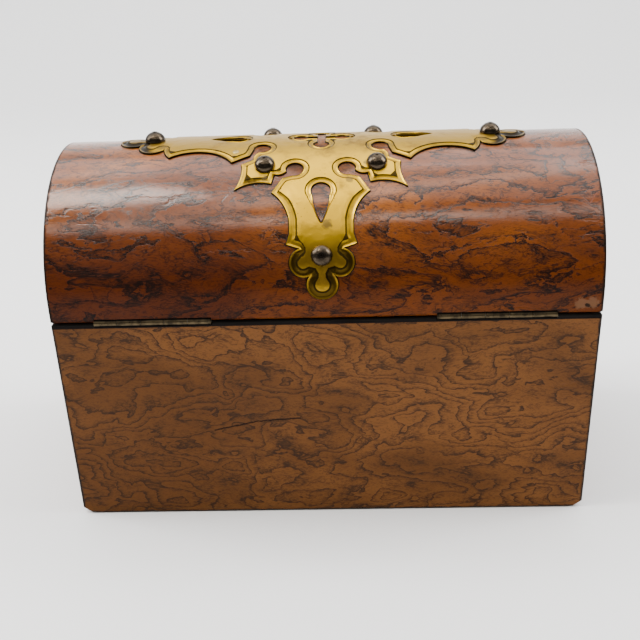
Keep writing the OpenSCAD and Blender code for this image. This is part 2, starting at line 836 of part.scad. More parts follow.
// Outline of a drop-shaped piercing along +X: round at c, pointed at the far end
function drop(c, r, point) =
    let (side = acos(r / (point - c)) + 8,
         from = [c, 0] + r * [cos(side), sin(side)], to = [c, 0] + r * [cos(side), -sin(side)])
    concat(arc([c, 0], r, side, 360 - side, 18), bow(to, [point, 0], -0.7, 5),
           bow([point, 0], from, -0.7, 5));

// Plan points [x, s] as they are seen from above the lid and from its back
function from_above(p) = [for (q = p) [q[0], dome_r * sin(q[1] / dome_r * 180 / PI)]];
function from_behind(p) = [for (q = p) [q[0], dome_r * cos(q[1] / dome_r * 180 / PI)]];

// Four keyhole-shaped piercings that meet in the middle of the mount
module four_lobes() {
    for (a = [0, 90, 180, 270]) rotate(a) {
        translate([9.2, 0]) circle(3.7);
        translate([-1, -2]) square([10.2, 4]);
    }
}
module mount_from_above() {
    difference() {
        for (mx = [0, 1], my = [0, 1])
            mirror([mx, 0]) mirror([0, my]) polygon(from_above(quarter()));
        four_lobes();
        for (s = [0, 180]) rotate(s) {
            polygon(drop(37.5, 3.9, 50));
            polygon(from_above(swap(drop(40.2, 4.4, 55))));
        }
    }
}
// The lower part of a strap, seen from behind the box
module strap_from_behind() {
    for (mx = [0, 1])
        mirror([mx, 0]) polygon(from_behind(concat(half_strap(), [[0, strap_cusp[0]]])));
}
mount_pin_x = 37.5;
mount_pin_s = 15.5;

// The mount is a shell over the lid, sawn to the plan from above and, for the ends of
// the straps, from the front and the back
module mount_shell(a0, a1) {
    barrel(a0, a1) translate([dome_r + skin, -box_w / 2]) square([mount_t - skin, box_w]);
}
module strap_mount() {
    a = strap_turn;
    color(aged_brass) difference() {
        union() {
            intersection() {
                mount_shell(-a, a);
                translate([0, 0, spring_z]) linear_extrude(height = box_d) mount_from_above();
            }
            for (turn = [0, 1]) mirror([0, turn, 0])
                intersection() {
                    mount_shell(a - strap_lap, 90);
                    translate([0, box_d, spring_z]) rotate([90, 0, 0])
                        linear_extrude(height = box_d) strap_from_behind();
                }
        }
        shank_holes(0.25);
    }
}

// Domed studs whose shanks go through the mount and into the lid
module stud() {
    lift = mount_t + 0.05;
    ball = (stud_r * stud_r + stud_h * stud_h) / (2 * stud_h);
    translate([0, 0, lift]) rotate_extrude() intersection() {
        translate([0, stud_h - ball]) circle(ball);
        square([stud_r, stud_h]);
    }
    translate([0, 0, -stud_depth]) cylinder(h = stud_depth + lift + 0.01, r = stud_shank_r);
}
module at_studs() {
    for (s = [-1, 1]) {
        on_lid(0, s * strap_stud_s) children();
        on_lid(s * arm_stud_x, 0) children();
        for (sx = [-1, 1]) on_lid(sx * leaf_stud_x, s * leaf_stud_s) children();
    }
}
module shank_holes(g) {
    at_studs() translate([0, 0, -stud_depth - g]) cylinder(h = stud_depth + 2 * e, r = stud_shank_r + g);
    on_lid(mount_pin_x, mount_pin_s) translate([0, 0, -5 - g]) cylinder(h = 5 + 2 * e, r = 0.7 + g);
}
module strap_studs() {
    color(bronze) for (s = [-1, 1]) on_lid(0, s * strap_stud_s) stud();
}
module leaf_studs() {
    color(bronze)
        for (sx = [-1, 1], sy = [-1, 1]) on_lid(sx * leaf_stud_x, sy * leaf_stud_s) stud();
}
module arm_studs() {
    color(bronze) for (s = [-1, 1]) on_lid(s * arm_stud_x, 0) stud();
}
module mount_pin() {
    color(aged_brass) on_lid(mount_pin_x, mount_pin_s) {
        translate([0, 0, mount_t + 0.03]) cylinder(h = 0.3, r1 = mount_pin_r, r2 = mount_pin_r - 0.3);
        translate([0, 0, -5]) cylinder(h = 5 + mount_t + 0.04, r = 0.7);
    }
}

base_front();
base_back();
base_left();
base_right();
base_bottom();
base_baize();
veneer_front();
veneer_back();
veneer_left();
veneer_right();
rim_facing();
lining_front();
lining_back();
lining_left();
lining_right();
floor_paper();
divider_front();
divider_middle();
divider_rear();
keyhole_plate();
keyhole_plate_pins();
lock_case();
lock_cap();
lock_selvage();
lock_bolt();
lock_spring();
lock_drill_pin();
lock_screws();
hinge_left_base_leaf();
hinge_left_lid_leaf();
hinge_left_pin();
hinge_right_base_leaf();
hinge_right_lid_leaf();
hinge_right_pin();
hinge_base_screws();
hinge_lid_screws();
lid_front_rail();
lid_back_rail();
lid_staves();
lid_left_end();
lid_right_end();
lid_dome_veneer();
lid_left_veneer();
lid_right_veneer();
lid_paper();
link_plate();
link_screws();
strap_mount();
strap_studs();
leaf_studs();
arm_studs();
mount_pin();
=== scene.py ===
# %% [markdown]
# # A burr-veneered letter box with a pierced brass mount
# The carcase, hinges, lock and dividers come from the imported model. This lesson gives
# them their finishes, and builds in mesh code what a plain solid can't show: the
# channelled edges of the brass mount, the domed studs and the keyhole plate.

# %% Load the frame and note its size
import math
from functools import partial
import bpy
import bmesh
import numpy as np
from mathutils import Matrix, Vector
from mathutils.geometry import delaunay_2d_cdt


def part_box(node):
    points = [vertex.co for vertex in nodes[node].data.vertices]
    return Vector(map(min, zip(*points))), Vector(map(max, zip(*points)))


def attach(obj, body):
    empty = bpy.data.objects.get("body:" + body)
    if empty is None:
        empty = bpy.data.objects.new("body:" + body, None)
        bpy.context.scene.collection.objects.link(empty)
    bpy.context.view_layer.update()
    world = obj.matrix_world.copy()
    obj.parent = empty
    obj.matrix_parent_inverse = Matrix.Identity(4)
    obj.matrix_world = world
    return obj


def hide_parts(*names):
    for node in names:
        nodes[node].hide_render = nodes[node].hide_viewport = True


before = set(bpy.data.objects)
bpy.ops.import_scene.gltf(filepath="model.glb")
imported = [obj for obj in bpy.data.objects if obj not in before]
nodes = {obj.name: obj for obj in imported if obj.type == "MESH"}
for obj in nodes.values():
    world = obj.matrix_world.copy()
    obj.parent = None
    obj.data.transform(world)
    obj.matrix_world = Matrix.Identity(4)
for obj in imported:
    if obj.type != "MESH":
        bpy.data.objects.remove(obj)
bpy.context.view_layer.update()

# %% [markdown]
# ## Sizes that the finishes share
# The veneer's figure, the mount and the studs all follow the lid's half round. Its
# radius and axis are read from the model, so nothing is typed twice. The sizes below
# are in millimetres, and MM turns them into metres.

# %% Lid radius, axis and half width
MM = 0.001
lid_lo, lid_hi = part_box("lid_dome_veneer")
LID_R = (lid_hi[1] - lid_lo[1]) / 2 / MM
SPRING_Z = (lid_hi[2] / MM) - LID_R
HALF_W = lid_hi[0] / MM
print("lid radius", LID_R, "axis height", SPRING_Z, "half width", HALF_W)


# %% [markdown]
# ## Camera
# The photograph looks at the back of the box, from a little above and almost straight
# on. Place, turn and lens were fitted to the box's corners and outlines in it.

# %% Place the camera
def new_object(name, data):
    obj = bpy.data.objects.new(name, data)
    bpy.context.scene.collection.objects.link(obj)
    return obj


def turned(*steps):
    out = Matrix.Identity(3)
    for degrees, axis in steps:
        out = out @ Matrix.Rotation(math.radians(degrees), 3, axis)
    return out.to_4x4()


cam_data = bpy.data.cameras.new("camera")
cam_data.lens = 50.13
cam_data.sensor_width = 36
cam = new_object("camera", cam_data)
cam.matrix_world = (Matrix.Translation((-0.01194, 0.40171, 0.26229))
                    @ turned((180, "Z"), (2.252, "Z"), (-25.289, "X"), (2.161, "Y"), (90, "X")))
bpy.context.scene.camera = cam
print("camera", tuple(round(v, 4) for v in cam.location))


# %% [markdown]
# ## Small helpers for shader trees
# A tree written node by node is hard to read. So one helper adds a node, sets its plain
# inputs and wires the linked ones, and the others name the nodes that come back often.

# %% Add a node, and wire it
work = {}


def add(kind, inputs=None, **props):
    """Adds a node to the tree in work, which is the last group or material begun."""
    node = work["tree"].nodes.new("ShaderNode" + kind)
    for key, value in props.items():
        setattr(node, key, value)
    for key, value in (inputs or {}).items():
        socket = node.inputs[key]
        if isinstance(value, bpy.types.NodeSocket):
            work["tree"].links.new(value, socket)
        else:
            socket.default_value = value
    return node


def smooth(value, low, high, to_low=0.0, to_high=1.0):
    inputs = {"Value": value, "From Min": low, "From Max": high, "To Min": to_low, "To Max": to_high}
    return add("MapRange", inputs, interpolation_type="SMOOTHSTEP").outputs[0]


def mix(factor, a, b, blend="MIX"):
    a, b = (v if isinstance(v, bpy.types.NodeSocket) else (*v, 1) for v in (a, b))
    node = add("Mix", {0: factor, 6: a, 7: b}, data_type="RGBA", blend_type=blend)
    return node.outputs[2]


print("helpers for colours and ranges ready")


# %% [markdown]
# ## Numbers and places in a tree
# Textures are read in the object's own coordinates, so a figure keeps its size and needs
# no unwrapping. Multiplied by a thousand, a place is in millimetres.

# %% Numbers, vectors and noise
def math_node(op, a, b=0.0, clamp=False):
    return add("Math", {0: a, 1: b}, operation=op, use_clamp=clamp).outputs[0]


times, plus, minus, larger, ratio = (
    partial(math_node, op) for op in ("MULTIPLY", "ADD", "SUBTRACT", "MAXIMUM", "DIVIDE"))


def vec(op, a, b):
    node = add("VectorMath", {0: a, 1: b}, operation=op)
    return node.outputs["Value" if op in ("DOT_PRODUCT", "DISTANCE") else "Vector"]


def scaled(a, factor):
    return add("VectorMath", {0: a, "Scale": factor}, operation="SCALE").outputs[0]


def noise(vector, scale, detail, **more):
    """Outputs of a noise: its value first, then its Color."""
    inputs = {"Vector": vector, "Scale": scale, "Detail": detail}
    return add("TexNoise", {**inputs, **more}).outputs


def here():
    return add("TexCoord").outputs["Object"]


def here_mm():
    return vec("MULTIPLY", here(), (1000, 1000, 1000))


def first_channel(color):
    return add("SeparateColor", {0: color}).outputs[0]


print("helpers for numbers and places ready")


# %% [markdown]
# ## Groups and materials
# An effect that finishes share is a node group: built once, with named inputs, and
# placed in each material with its own values.

# %% Start a node group, and a material
def new_group(name, inputs, outputs):
    group = bpy.data.node_groups.new(name, "ShaderNodeTree")
    kinds = {"f": "NodeSocketFloat", "v": "NodeSocketVector"}
    for label, kind, default in inputs:
        socket = group.interface.new_socket(label, in_out="INPUT", socket_type=kinds[kind])
        socket.default_value = default
    for label in outputs:
        group.interface.new_socket(label, in_out="OUTPUT", socket_type=kinds["f"])
    work["tree"] = group
    return group, group.nodes.new("NodeGroupInput").outputs, group.nodes.new("NodeGroupOutput").inputs


def new_finish(name, **plain):
    mat = bpy.data.materials.new(name)
    mat.use_nodes = True
    work["tree"] = mat.node_tree
    bsdf = mat.node_tree.nodes["Principled BSDF"]
    for key, value in plain.items():
        bsdf.inputs[key.replace("_", " ")].default_value = value
    return mat, bsdf.inputs


def place(group, **inputs):
    node = add("Group", node_tree=group)
    for key, value in inputs.items():
        node.inputs[key.replace("_", " ")].default_value = value
    return node.outputs


def bump(height, strength, depth, normal=None):
    inputs = {"Height": height, "Strength": strength, "Distance": depth}
    if normal is not None:
        inputs["Normal"] = normal
    return add("Bump", inputs).outputs[0]


def wire(sockets):
    for value, socket in sockets:
        work["tree"].links.new(value, socket)


print("helpers for groups and materials ready")

# %% [markdown]
# ## Burr figure
# Burr veneer has no straight grain. Its dark lines are the edges of a wildly folded
# solid: contour lines. So the group folds the space with noise, takes contour lines of
# a second noise, and lets them fade in and out. It works in three dimensions, so the
# figure runs over the barrel and round corners without a seam.

# %% Group: contour lines of folded wood
figure, g, out = new_group(
    "burr_figure",
    [("Place", "v", (0, 0, 0)), ("Size", "f", 30.0), ("Stretch", "f", 2.0), ("Fold", "f", 12.0),
     ("Lines", "f", 12.0), ("Width", "f", 0.3), ("Cover", "f", 0.5), ("Rough", "f", 0.55),
     ("Ragged", "f", 0.3), ("Lean", "v", (0, 0, 0))],
    ["Streak", "Shade", "Cloud", "Fleck", "Eyes"])
moved = vec("ADD", here_mm(), g["Place"])
squeeze = add("CombineXYZ", {0: ratio(1.0, g["Stretch"]), 1: 1.0, 2: 1.0})
inv = ratio(1.0, g["Size"])


def folded_by(vector, scale, amount, detail):
    bend = vec("SUBTRACT", noise(vector, scale, detail)["Color"], (0.5, 0.5, 0.5))
    return vec("ADD", vector, scaled(bend, amount))


flat = vec("MULTIPLY", moved, squeeze.outputs[0])
folded = folded_by(folded_by(flat, inv, g["Fold"], 2.0), 0.22, 3.0, 2.0)
field = noise(folded, inv, 4.0, Roughness=g["Rough"], Lacunarity=2.1)[0]
print("space folded:", len(figure.nodes), "nodes")

# %% [markdown]
# ## Eyes, streaks and flecks
# Small buds left eyes in the burr, and the lines run round them, so an eye raises the
# noise before the contour lines are cut. A sharp line is a streak, and its slow
# shadow on one side is what gives a burr its depth.

# %% Cut the contour lines and give the group its outputs
cells = add("TexVoronoi", {"Vector": folded, "Scale": 0.055}).outputs
chosen = math_node("LESS_THAN", first_channel(cells["Color"]), 0.45)
eye = times(smooth(cells["Distance"], 0.42, 0.0), chosen)
lean = vec("DOT_PRODUCT", here_mm(), g["Lean"])
field = plus(plus(field, times(eye, 0.16)), lean)
ragged = noise(folded, 0.9, 3.0, Roughness=0.7)[0]
jag = times(minus(ragged, 0.5), g["Ragged"])
wave = math_node("FRACT", plus(times(field, g["Lines"]), jag))
rise = smooth(wave, 0.0, 0.05)
sharp = times(smooth(wave, g["Width"], 0.0), rise)
fade = times(smooth(wave, 0.75, 0.0), rise)
zone = noise(moved, times(inv, 1.3), 3.0, Roughness=0.6)[0]
there = smooth(plus(zone, minus(g["Cover"], 0.5)), 0.40, 0.60)
comb = vec("MULTIPLY", folded, (0.55, 1.0, 1.0))
wire([
    (times(sharp, there), out["Streak"]),
    (times(fade, there), out["Shade"]),
    (noise(folded, times(inv, 0.7), 3.0)[0], out["Cloud"]),
    (noise(comb, 2.2, 3.0, Roughness=0.7)[0], out["Fleck"]),
    (times(smooth(cells["Distance"], 0.07, 0.0), chosen), out["Eyes"])])
print("burr_figure:", len(figure.nodes), "nodes")

# %% [markdown]
# ## Dents and scratches
# An old box is never even. Dents are the centres of a few far-apart cells, scratches
# the edges of stretched cells. Noise first bends the space, so that neither is ruled.

# %% Group: small dark dents
dents, g, out = new_group(
    "small_dents", [("Spread", "f", 0.06), ("Radius", "f", 0.05), ("Share", "f", 0.35)],
    ["Dent", "Scratch"])
mm = here_mm()
warped = vec("ADD", mm, scaled(noise(mm, 0.4, 2.0)["Color"], 2.4))
cells = add("TexVoronoi", {"Vector": warped, "Scale": g["Spread"]}).outputs
chosen = math_node("LESS_THAN", first_channel(cells["Color"]), g["Share"])
long = vec("MULTIPLY", warped, (0.10, 1.0, 0.35))
line = add("TexVoronoi", {"Vector": long, "Scale": 0.10}, feature="DISTANCE_TO_EDGE").outputs
some = noise(mm, 0.05, 1.0)[0]
wire([
    (times(smooth(cells["Distance"], g["Radius"], 0.0), chosen), out["Dent"]),
    (times(smooth(line["Distance"], 0.02, 0.0), smooth(some, 0.56, 0.66)), out["Scratch"])])
print("small_dents:", len(dents.nodes), "nodes")

# %% [markdown]
# ## Marks at one place
# The photograph shows a chip and two scratches at places of their own. This group draws
# a line between two points: it measures how far a place is from the line, after noise
# has made that line waver.

# %% Group: a mark drawn from one point to another, in millimetres
mark, g, out = new_group("placed_mark", [("From", "v", (0, 0, 0)), ("To", "v", (1, 0, 0)),
                         ("Half Width", "f", 0.3), ("Waver", "f", 0.4)], ["Mark"])
mm = here_mm()
waver = noise(mm, 0.5, 4.0, Roughness=0.6)["Color"]
waver = scaled(vec("SUBTRACT", waver, (0.5, 0.5, 0.5)), times(g["Waver"], 4.0))
start = vec("SUBTRACT", vec("ADD", mm, waver), g["From"])
run = vec("SUBTRACT", g["To"], g["From"])
share = ratio(vec("DOT_PRODUCT", start, run), vec("DOT_PRODUCT", run, run), clamp=True)
gap = ratio(vec("DISTANCE", start, scaled(run, share)), g["Half Width"])
wire([(smooth(gap, 1.0, 0.45), out["Mark"])])
print("placed_mark:", len(mark.nodes), "nodes")

# %% [markdown]
# ## Dark arrises
# The upright corners and the foot of the box are made darker. The group says how near a
# place is to either, with an uneven border.

# %% Group: how near a point is to an arris of the box
arris, g, out = new_group(
    "near_arris", [("Half Width", "f", 118.0), ("Bottom", "f", 0.6), ("Reach", "f", 1.2)],
    ["Upright", "Foot"])
x, y, z = add("SeparateXYZ", {0: here_mm()}).outputs
wobble = times(minus(noise(here(), 260.0, 3.0)[0], 0.5), g["Reach"])
for away, low, socket in ((minus(g["Half Width"], math_node("ABSOLUTE", x)), 0.4, out["Upright"]),
                          (minus(z, g["Bottom"]), 0.3, out["Foot"])):
    near = ratio(plus(away, wobble), g["Reach"])
    wire([(smooth(near, 1.0, low), socket)])
print("near_arris:", len(arris.nodes), "nodes")


# %% [markdown]
# ## Colour of burr veneer
# The ground goes from brown to golden in broad clouds. Flecks, the shade beside each
# line, the line itself and the eyes darken it. A second, finer figure is laid over the
# first, because real burrs have lines of several sizes.

# %% Colours from the figure
def figured_color(figures, ground, golden, dark):
    """The colour of the wood, the dark lines in it, and the outputs of the main figure."""
    main, *finer = [place(figure, **f) for f in figures]
    streak, shade, fleck = main["Streak"], main["Shade"], main["Fleck"]
    for fine in finer:
        streak = larger(streak, times(fine["Streak"], 0.8))
        shade = larger(shade, times(fine["Shade"], 0.7))
    color = mix(smooth(main["Cloud"], 0.38, 0.62), ground, golden)
    for amount in (smooth(fleck, 0.45, 0.75, 0.0, 0.55),
                   times(shade, smooth(fleck, 0.42, 0.58, 0.15, 0.85)),
                   times(streak, smooth(fleck, 0.25, 0.50, 0.55, 1.0)),
                   times(main["Eyes"], 0.8)):
        color = mix(amount, color, dark)
    return color, streak, main


print("figured colour ready")


# %% [markdown]
# ## Wear and painted shade of burr veneer
# Where polish is gone the wood is bare and dull, so the recipe keeps count of bare places
# for the coat. The upright corners and the foot are darkened. The lower, steeper part of
# the lid is painted darker, as shade, and under the mount's middle, where no cloth
# reaches, old wax and dust have dulled the wood.

# %% Dents, arrises, dirt, painted shade and placed marks
TOP = (0, 0, (SPRING_Z + LID_R) * MM)
# Below these heights, in metres, the lower lid is painted darker: painted shade.
SHADE_FROM, SHADE_BELOW = 0.152, 0.120
DULL_OUT, DULL_IN = 0.034, 0.029


def worn_color(color, dent, near, placed, low_shade, dirty):
    """The worn colour, and how bare each place is."""
    tones = [(times(dent, 0.85), (0.008, 0.005, 0.003))]
    # The upright corners and the foot are made darker.
    if near:
        tones += [(times(near["Upright"], 0.92), (0.008, 0.008, 0.008)),
                  (times(near["Foot"], 0.9), (0.012, 0.009, 0.007))]
    for amount, tone in tones:
        color = mix(amount, color, tone)
    # The lower, steeper part of the lid is multiplied darker here: painted shade.
    up = add("SeparateXYZ", {0: here()}).outputs[2]
    low = mix(1.0, color, low_shade, "MULTIPLY")
    color = mix(smooth(up, SHADE_FROM, SHADE_BELOW), color, low)
    bare = smooth(vec("DISTANCE", here(), TOP), DULL_OUT, DULL_IN, 0.0, dirty)
    color = mix(times(bare, 0.6), color, (0.040, 0.018, 0.008))
    for start, end, half, waver, tone in placed:
        hit = place(mark, From=start, To=end, Half_Width=half, Waver=waver)["Mark"]
        color = mix(times(hit, 0.9), color, tone)
        bare = larger(hit, bare)
    return color, larger(bare, near["Upright"]) if near else bare


print("worn colour ready")


# %% [markdown]
# ## Polish of burr veneer
# French polish is a thin clear coat over the wood, so it is the Principled shader's
# coat. It is thick on top of the lid and thin lower down, and it is missing at the
# arrises and where the wood is bare. Dents and lines are pressed in with a bump.

# %% Burr veneer: one recipe for every finish
def burr(name, ground, golden, dark, figures, polish, edges=True, spec=0.12, matt=0.45, placed=(),
         low_shade=(1, 1, 1), dirty=0.0):
    mat, bsdf = new_finish(name, Coat_Roughness=polish["rough"], Coat_IOR=1.5, Specular_IOR_Level=spec)
    color, streak, main = figured_color(figures, ground, golden, dark)
    marks = place(dents, Spread=0.045, Radius=0.040, Share=0.30)
    near = place(arris, Half_Width=HALF_W, Bottom=0.0, Reach=1.7) if edges else None
    color, bare = worn_color(color, marks["Dent"], near, placed, low_shade, dirty)
    co = here()
    up = add("SeparateXYZ", {0: co}).outputs[2]
    high = smooth(up, polish["low_z"], polish["high_z"], polish["low"], polish["high"])
    coat = times(high, smooth(noise(co, 24.0, 3.0)[0], 0.3, 0.6, 0.75, 1.0))
    cuts = plus(plus(marks["Scratch"], bare), times(streak, 0.35))
    height = minus(times(main["Fleck"], 0.30), plus(times(marks["Dent"], 2.0), cuts))
    normal = bump(height, 0.35, 0.00025)
    normal = bump(noise(co, 42.0, 2.0)[0], 0.16, 0.002, normal)
    wire([
        (color, bsdf["Base Color"]),
        (smooth(main["Cloud"], 0.3, 0.7, matt + 0.08, matt - 0.06), bsdf["Roughness"]),
        (times(coat, minus(1.0, bare)), bsdf["Coat Weight"]),
        (normal, bsdf["Normal"]), (normal, bsdf["Coat Normal"])])
    return mat


print("burr recipe ready")

# %% [markdown]
# ## Three burr finishes
# The lid was cleaned and polished more than the base: its ground is a hot orange brown
# and its streaks almost black. The base has a quieter, browner and finer figure, and
# hardly any gloss. The ends are not seen in the photograph and lie between the two.

# %% Lid, base and ends
black, raw = (0.004, 0.003, 0.002), (0.150, 0.068, 0.032)
lid_marks = (((-109.5, 41.1, 146.4), (-112.0, 43.3, 144.1), 0.28, 0.25, (0.05, 0.02, 0.012)),
             ((-112.0, 43.3, 144.1), (-115.4, 39.9, 147.6), 0.28, 0.25, (0.15, 0.045, 0.025)),
             ((-108.0, 58.0, 104.9), (-114.0, 58.0, 105.4), 3.0, 1.5, raw),
             ((-111.6, 58.0, 103.9), (-110.8, 58.0, 104.1), 1.0, 0.3, black))
base_marks = (((51.2, 58, 45.5), (31.3, 58, 49.9), 0.50, 0.3, black),
              ((31.3, 58, 49.9), (12.3, 58, 51.1), 0.50, 0.3, black))
burr_lid = burr(
    "burr_lid", (0.145, 0.034, 0.0025), (0.30, 0.088, 0.0070), (0.008, 0.0025, 0.0008),
    (dict(Place=(140, 35, 10), Size=46, Stretch=2.2, Fold=34, Lines=10.0, Width=0.36, Cover=0.72,
          Rough=0.60, Ragged=0.60, Lean=(0.0016, -0.001, 0.003)),
     dict(Place=(20, 300, 50), Size=18, Stretch=2.0, Fold=18, Lines=8.0, Width=0.24, Cover=0.60,
          Rough=0.62, Ragged=0.45)),
    dict(rough=0.12, low_z=0.114, high_z=0.132, low=0.10, high=1.0), spec=0.06, matt=0.42,
    # The three factors after the marks darken the lower lid: painted shade.
    placed=lid_marks, low_shade=(0.48, 0.37, 0.17), dirty=0.9)
burr_base = burr(
    "burr_base", (0.110, 0.0395, 0.0082), (0.176, 0.066, 0.0150), (0.027, 0.012, 0.0050),
    (dict(Place=(35, 12, 80), Size=32, Stretch=2.0, Fold=16, Lines=19.0, Width=0.26, Cover=0.70,
          Rough=0.42, Ragged=0.26, Lean=(0, 0, 0.004)),
     dict(Place=(5, 90, 20), Size=14, Stretch=2.8, Fold=7, Lines=9.0, Width=0.16, Cover=0.48,
          Rough=0.5, Ragged=0.25, Lean=(0, 0, 0.012))),
    dict(rough=0.30, low_z=0.0, high_z=0.1, low=0.03, high=0.08), spec=0.08, matt=0.52, placed=base_marks)
burr_end = burr(
    "burr_end", (0.125, 0.038, 0.0065), (0.20, 0.070, 0.0130), (0.026, 0.010, 0.004),
    (dict(Place=(75, 22, 40), Size=26, Stretch=1.0, Fold=16, Lines=12.0, Width=0.22, Cover=0.60,
          Rough=0.5, Ragged=0.35),),
    dict(rough=0.22, low_z=0.0, high_z=0.16, low=0.15, high=0.6), edges=False)
print("burr finishes made")

# %% [markdown]
# ## Long grain
# Plain boards have grain that runs one way. The group squeezes space along the board,
# so the noise draws out into rings and fine pores. It serves every plain wood.

# %% Group: long grain
grain, g, out = new_group(
    "long_grain", [("Along", "v", (1, 1, 1)), ("Scale", "f", 1.0)], ["Rings", "Pores"])
v = scaled(vec("MULTIPLY", here(), g["Along"]), g["Scale"])
wire([
    (noise(v, 90.0, 3.0, Distortion=0.6)[0], out["Rings"]),
    (smooth(noise(v, 900.0, 2.0)[0], 0.56, 0.66), out["Pores"])])
print("long_grain:", len(grain.nodes), "nodes")


# %% [markdown]
# ## Plain woods
# Inside there is mahogany, with long dark pores. The hidden carcase is pale, unpolished
# softwood. The rim's facing is pearwood stained black, with almost no gloss left. One
# recipe with other colours gives them all.

# %% Mahogany, softwood and ebonised wood
def plain_wood(name, light, dark, along, rough, coat, spec=0.35):
    mat, bsdf = new_finish(name, Coat_Roughness=0.25, Coat_Weight=coat, Specular_IOR_Level=spec)
    made = place(grain, Along=along, Scale=1.0)
    rings, pores = made["Rings"], made["Pores"]
    color = mix(smooth(rings, 0.35, 0.65), light, dark)
    color = mix(times(pores, 0.6), color, tuple(c * 0.35 for c in dark))
    wire([
        (color, bsdf["Base Color"]),
        (smooth(rings, 0.3, 0.7, rough, rough + 0.12), bsdf["Roughness"]),
        (bump(minus(rings, pores), 0.25, 0.0003), bsdf["Normal"])])
    return mat


red = ((0.17, 0.052, 0.022), (0.085, 0.024, 0.011))
mahogany = plain_wood("mahogany", *red, (0.06, 1, 0.8), 0.36, 0.35)
mahogany_ends = plain_wood("mahogany_ends", *red, (1, 0.06, 0.8), 0.36, 0.35)
softwood = plain_wood("softwood", (0.27, 0.135, 0.052), (0.17, 0.080, 0.030), (0.05, 1, 1), 0.6, 0.0)
ebony = plain_wood("ebonised", (0.009, 0.007, 0.006), (0.004, 0.0035, 0.003), (0.05, 1, 1), 0.45, 0.0,
                   spec=0.04)
print("plain woods made")


# %% [markdown]
# ## Baize and lining paper
# Baize is a felted cloth glued under the box, so it gets sheen and a fine fuzz. The
# lining paper is marbled: veins are thin contour lines of a noise, on a ground that
# age has browned in patches.

# %% Baize and old lining paper
def baize_finish():
    mat, bsdf = new_finish("baize", Roughness=0.95, Sheen_Weight=0.6, Sheen_Roughness=0.5)
    fuzz, worn = noise(here(), 1800.0, 3.0)[0], noise(here(), 40.0, 4.0)[0]
    color = mix(smooth(worn, 0.4, 0.65), (0.020, 0.045, 0.024), (0.05, 0.075, 0.04))
    color = mix(smooth(fuzz, 0.4, 0.7), color, (0.09, 0.12, 0.075))
    wire([(color, bsdf["Base Color"]), (bump(fuzz, 0.6, 0.0004), bsdf["Normal"])])
    return mat


def lining_paper_finish():
    mat, bsdf = new_finish("lining_paper", Roughness=0.85)
    co = here()
    wave = math_node("FRACT", times(noise(co, 30.0, 3.0, Distortion=2.5)[0], 9.0))
    vein = math_node("ABSOLUTE", minus(wave, 0.5))
    color = mix(smooth(vein, 0.16, 0.0), (0.36, 0.27, 0.17), (0.14, 0.045, 0.03))
    color = mix(smooth(noise(co, 12.0, 4.0)[0], 0.45, 0.7, 0.0, 0.6), color, (0.20, 0.13, 0.07))
    fuzz = noise(co, 1500.0, 2.0)[0]
    wire([(color, bsdf["Base Color"]), (bump(fuzz, 0.2, 0.0002), bsdf["Normal"])])
    return mat


baize = baize_finish()
lining_paper = lining_paper_finish()
print("baize and paper made")

# %% [markdown]
# ## Tarnish
# Brass keeps bright where it is rubbed and goes brown where it is not. The group gives
# broad stains, tiny pits and the fine lines of old rubbing, for every metal of the box.

# %% Group: tarnish
tarnish, g, out = new_group("tarnish", [("Scale", "f", 60.0), ("Cover", "f", 0.5)], ["Stain", "Pit", "Rub"])
co = here()
broad = noise(co, g["Scale"], 5.0, Roughness=0.6)[0]
broad = plus(broad, minus(g["Cover"], 0.5))
pits = add("TexVoronoi", {"Vector": co, "Scale": 620.0}).outputs["Distance"]
few = smooth(noise(co, 150.0, 2.0)[0], 0.51, 0.58)
wire([
    (smooth(broad, 0.45, 0.68), out["Stain"]),
    (times(smooth(pits, 0.20, 0.05), few), out["Pit"]),
    (noise(vec("MULTIPLY", co, (1.0, 0.12, 0.12)), 2600.0, 3.0)[0], out["Rub"])])
print("tarnish:", len(tarnish.nodes), "nodes")


# %% [markdown]
# ## Places on the barrel
# The mount is drawn flat, as it was sawn from sheet: x runs along the ridge and s over
# the curve. A place of that plan is rolled onto the lid at a height h above the veneer.

# %% From the flat plan to the lid
def over_lid(x, s, h=0.0):
    a = s / LID_R
    return x, (LID_R + h) * math.sin(a), SPRING_Z + (LID_R + h) * math.cos(a)


print("the plan's middle lies at", over_lid(0, 0))


# %% [markdown]
# ## Dirt and painted shade that follow a shape
# Each vertex of the mount stores how far it is across the channel at its edge, and how
# brown the metal is there. So black lies in the engraved line, as dirt and painted shade,
# brown in the hollow, and a dark fillet at the foot, as old wax and painted shadow. A
# hinge is painted near black away from the joint's line, as the shade of the gap, and only
# the crown of its knuckles keeps the brass colour.

# %% Colours of the mount's edge and of the hinges
SPOTS = ((-2.6, 55.5, 2.6), (-12.0, 34.8, 2.4), (-20.0, 25.4, 2.2), (24, 33, 1.8))
JOINT_Z = 0.10035


def attribute(name):
    return add("Attribute", attribute_name=name, attribute_type="GEOMETRY").outputs["Fac"]


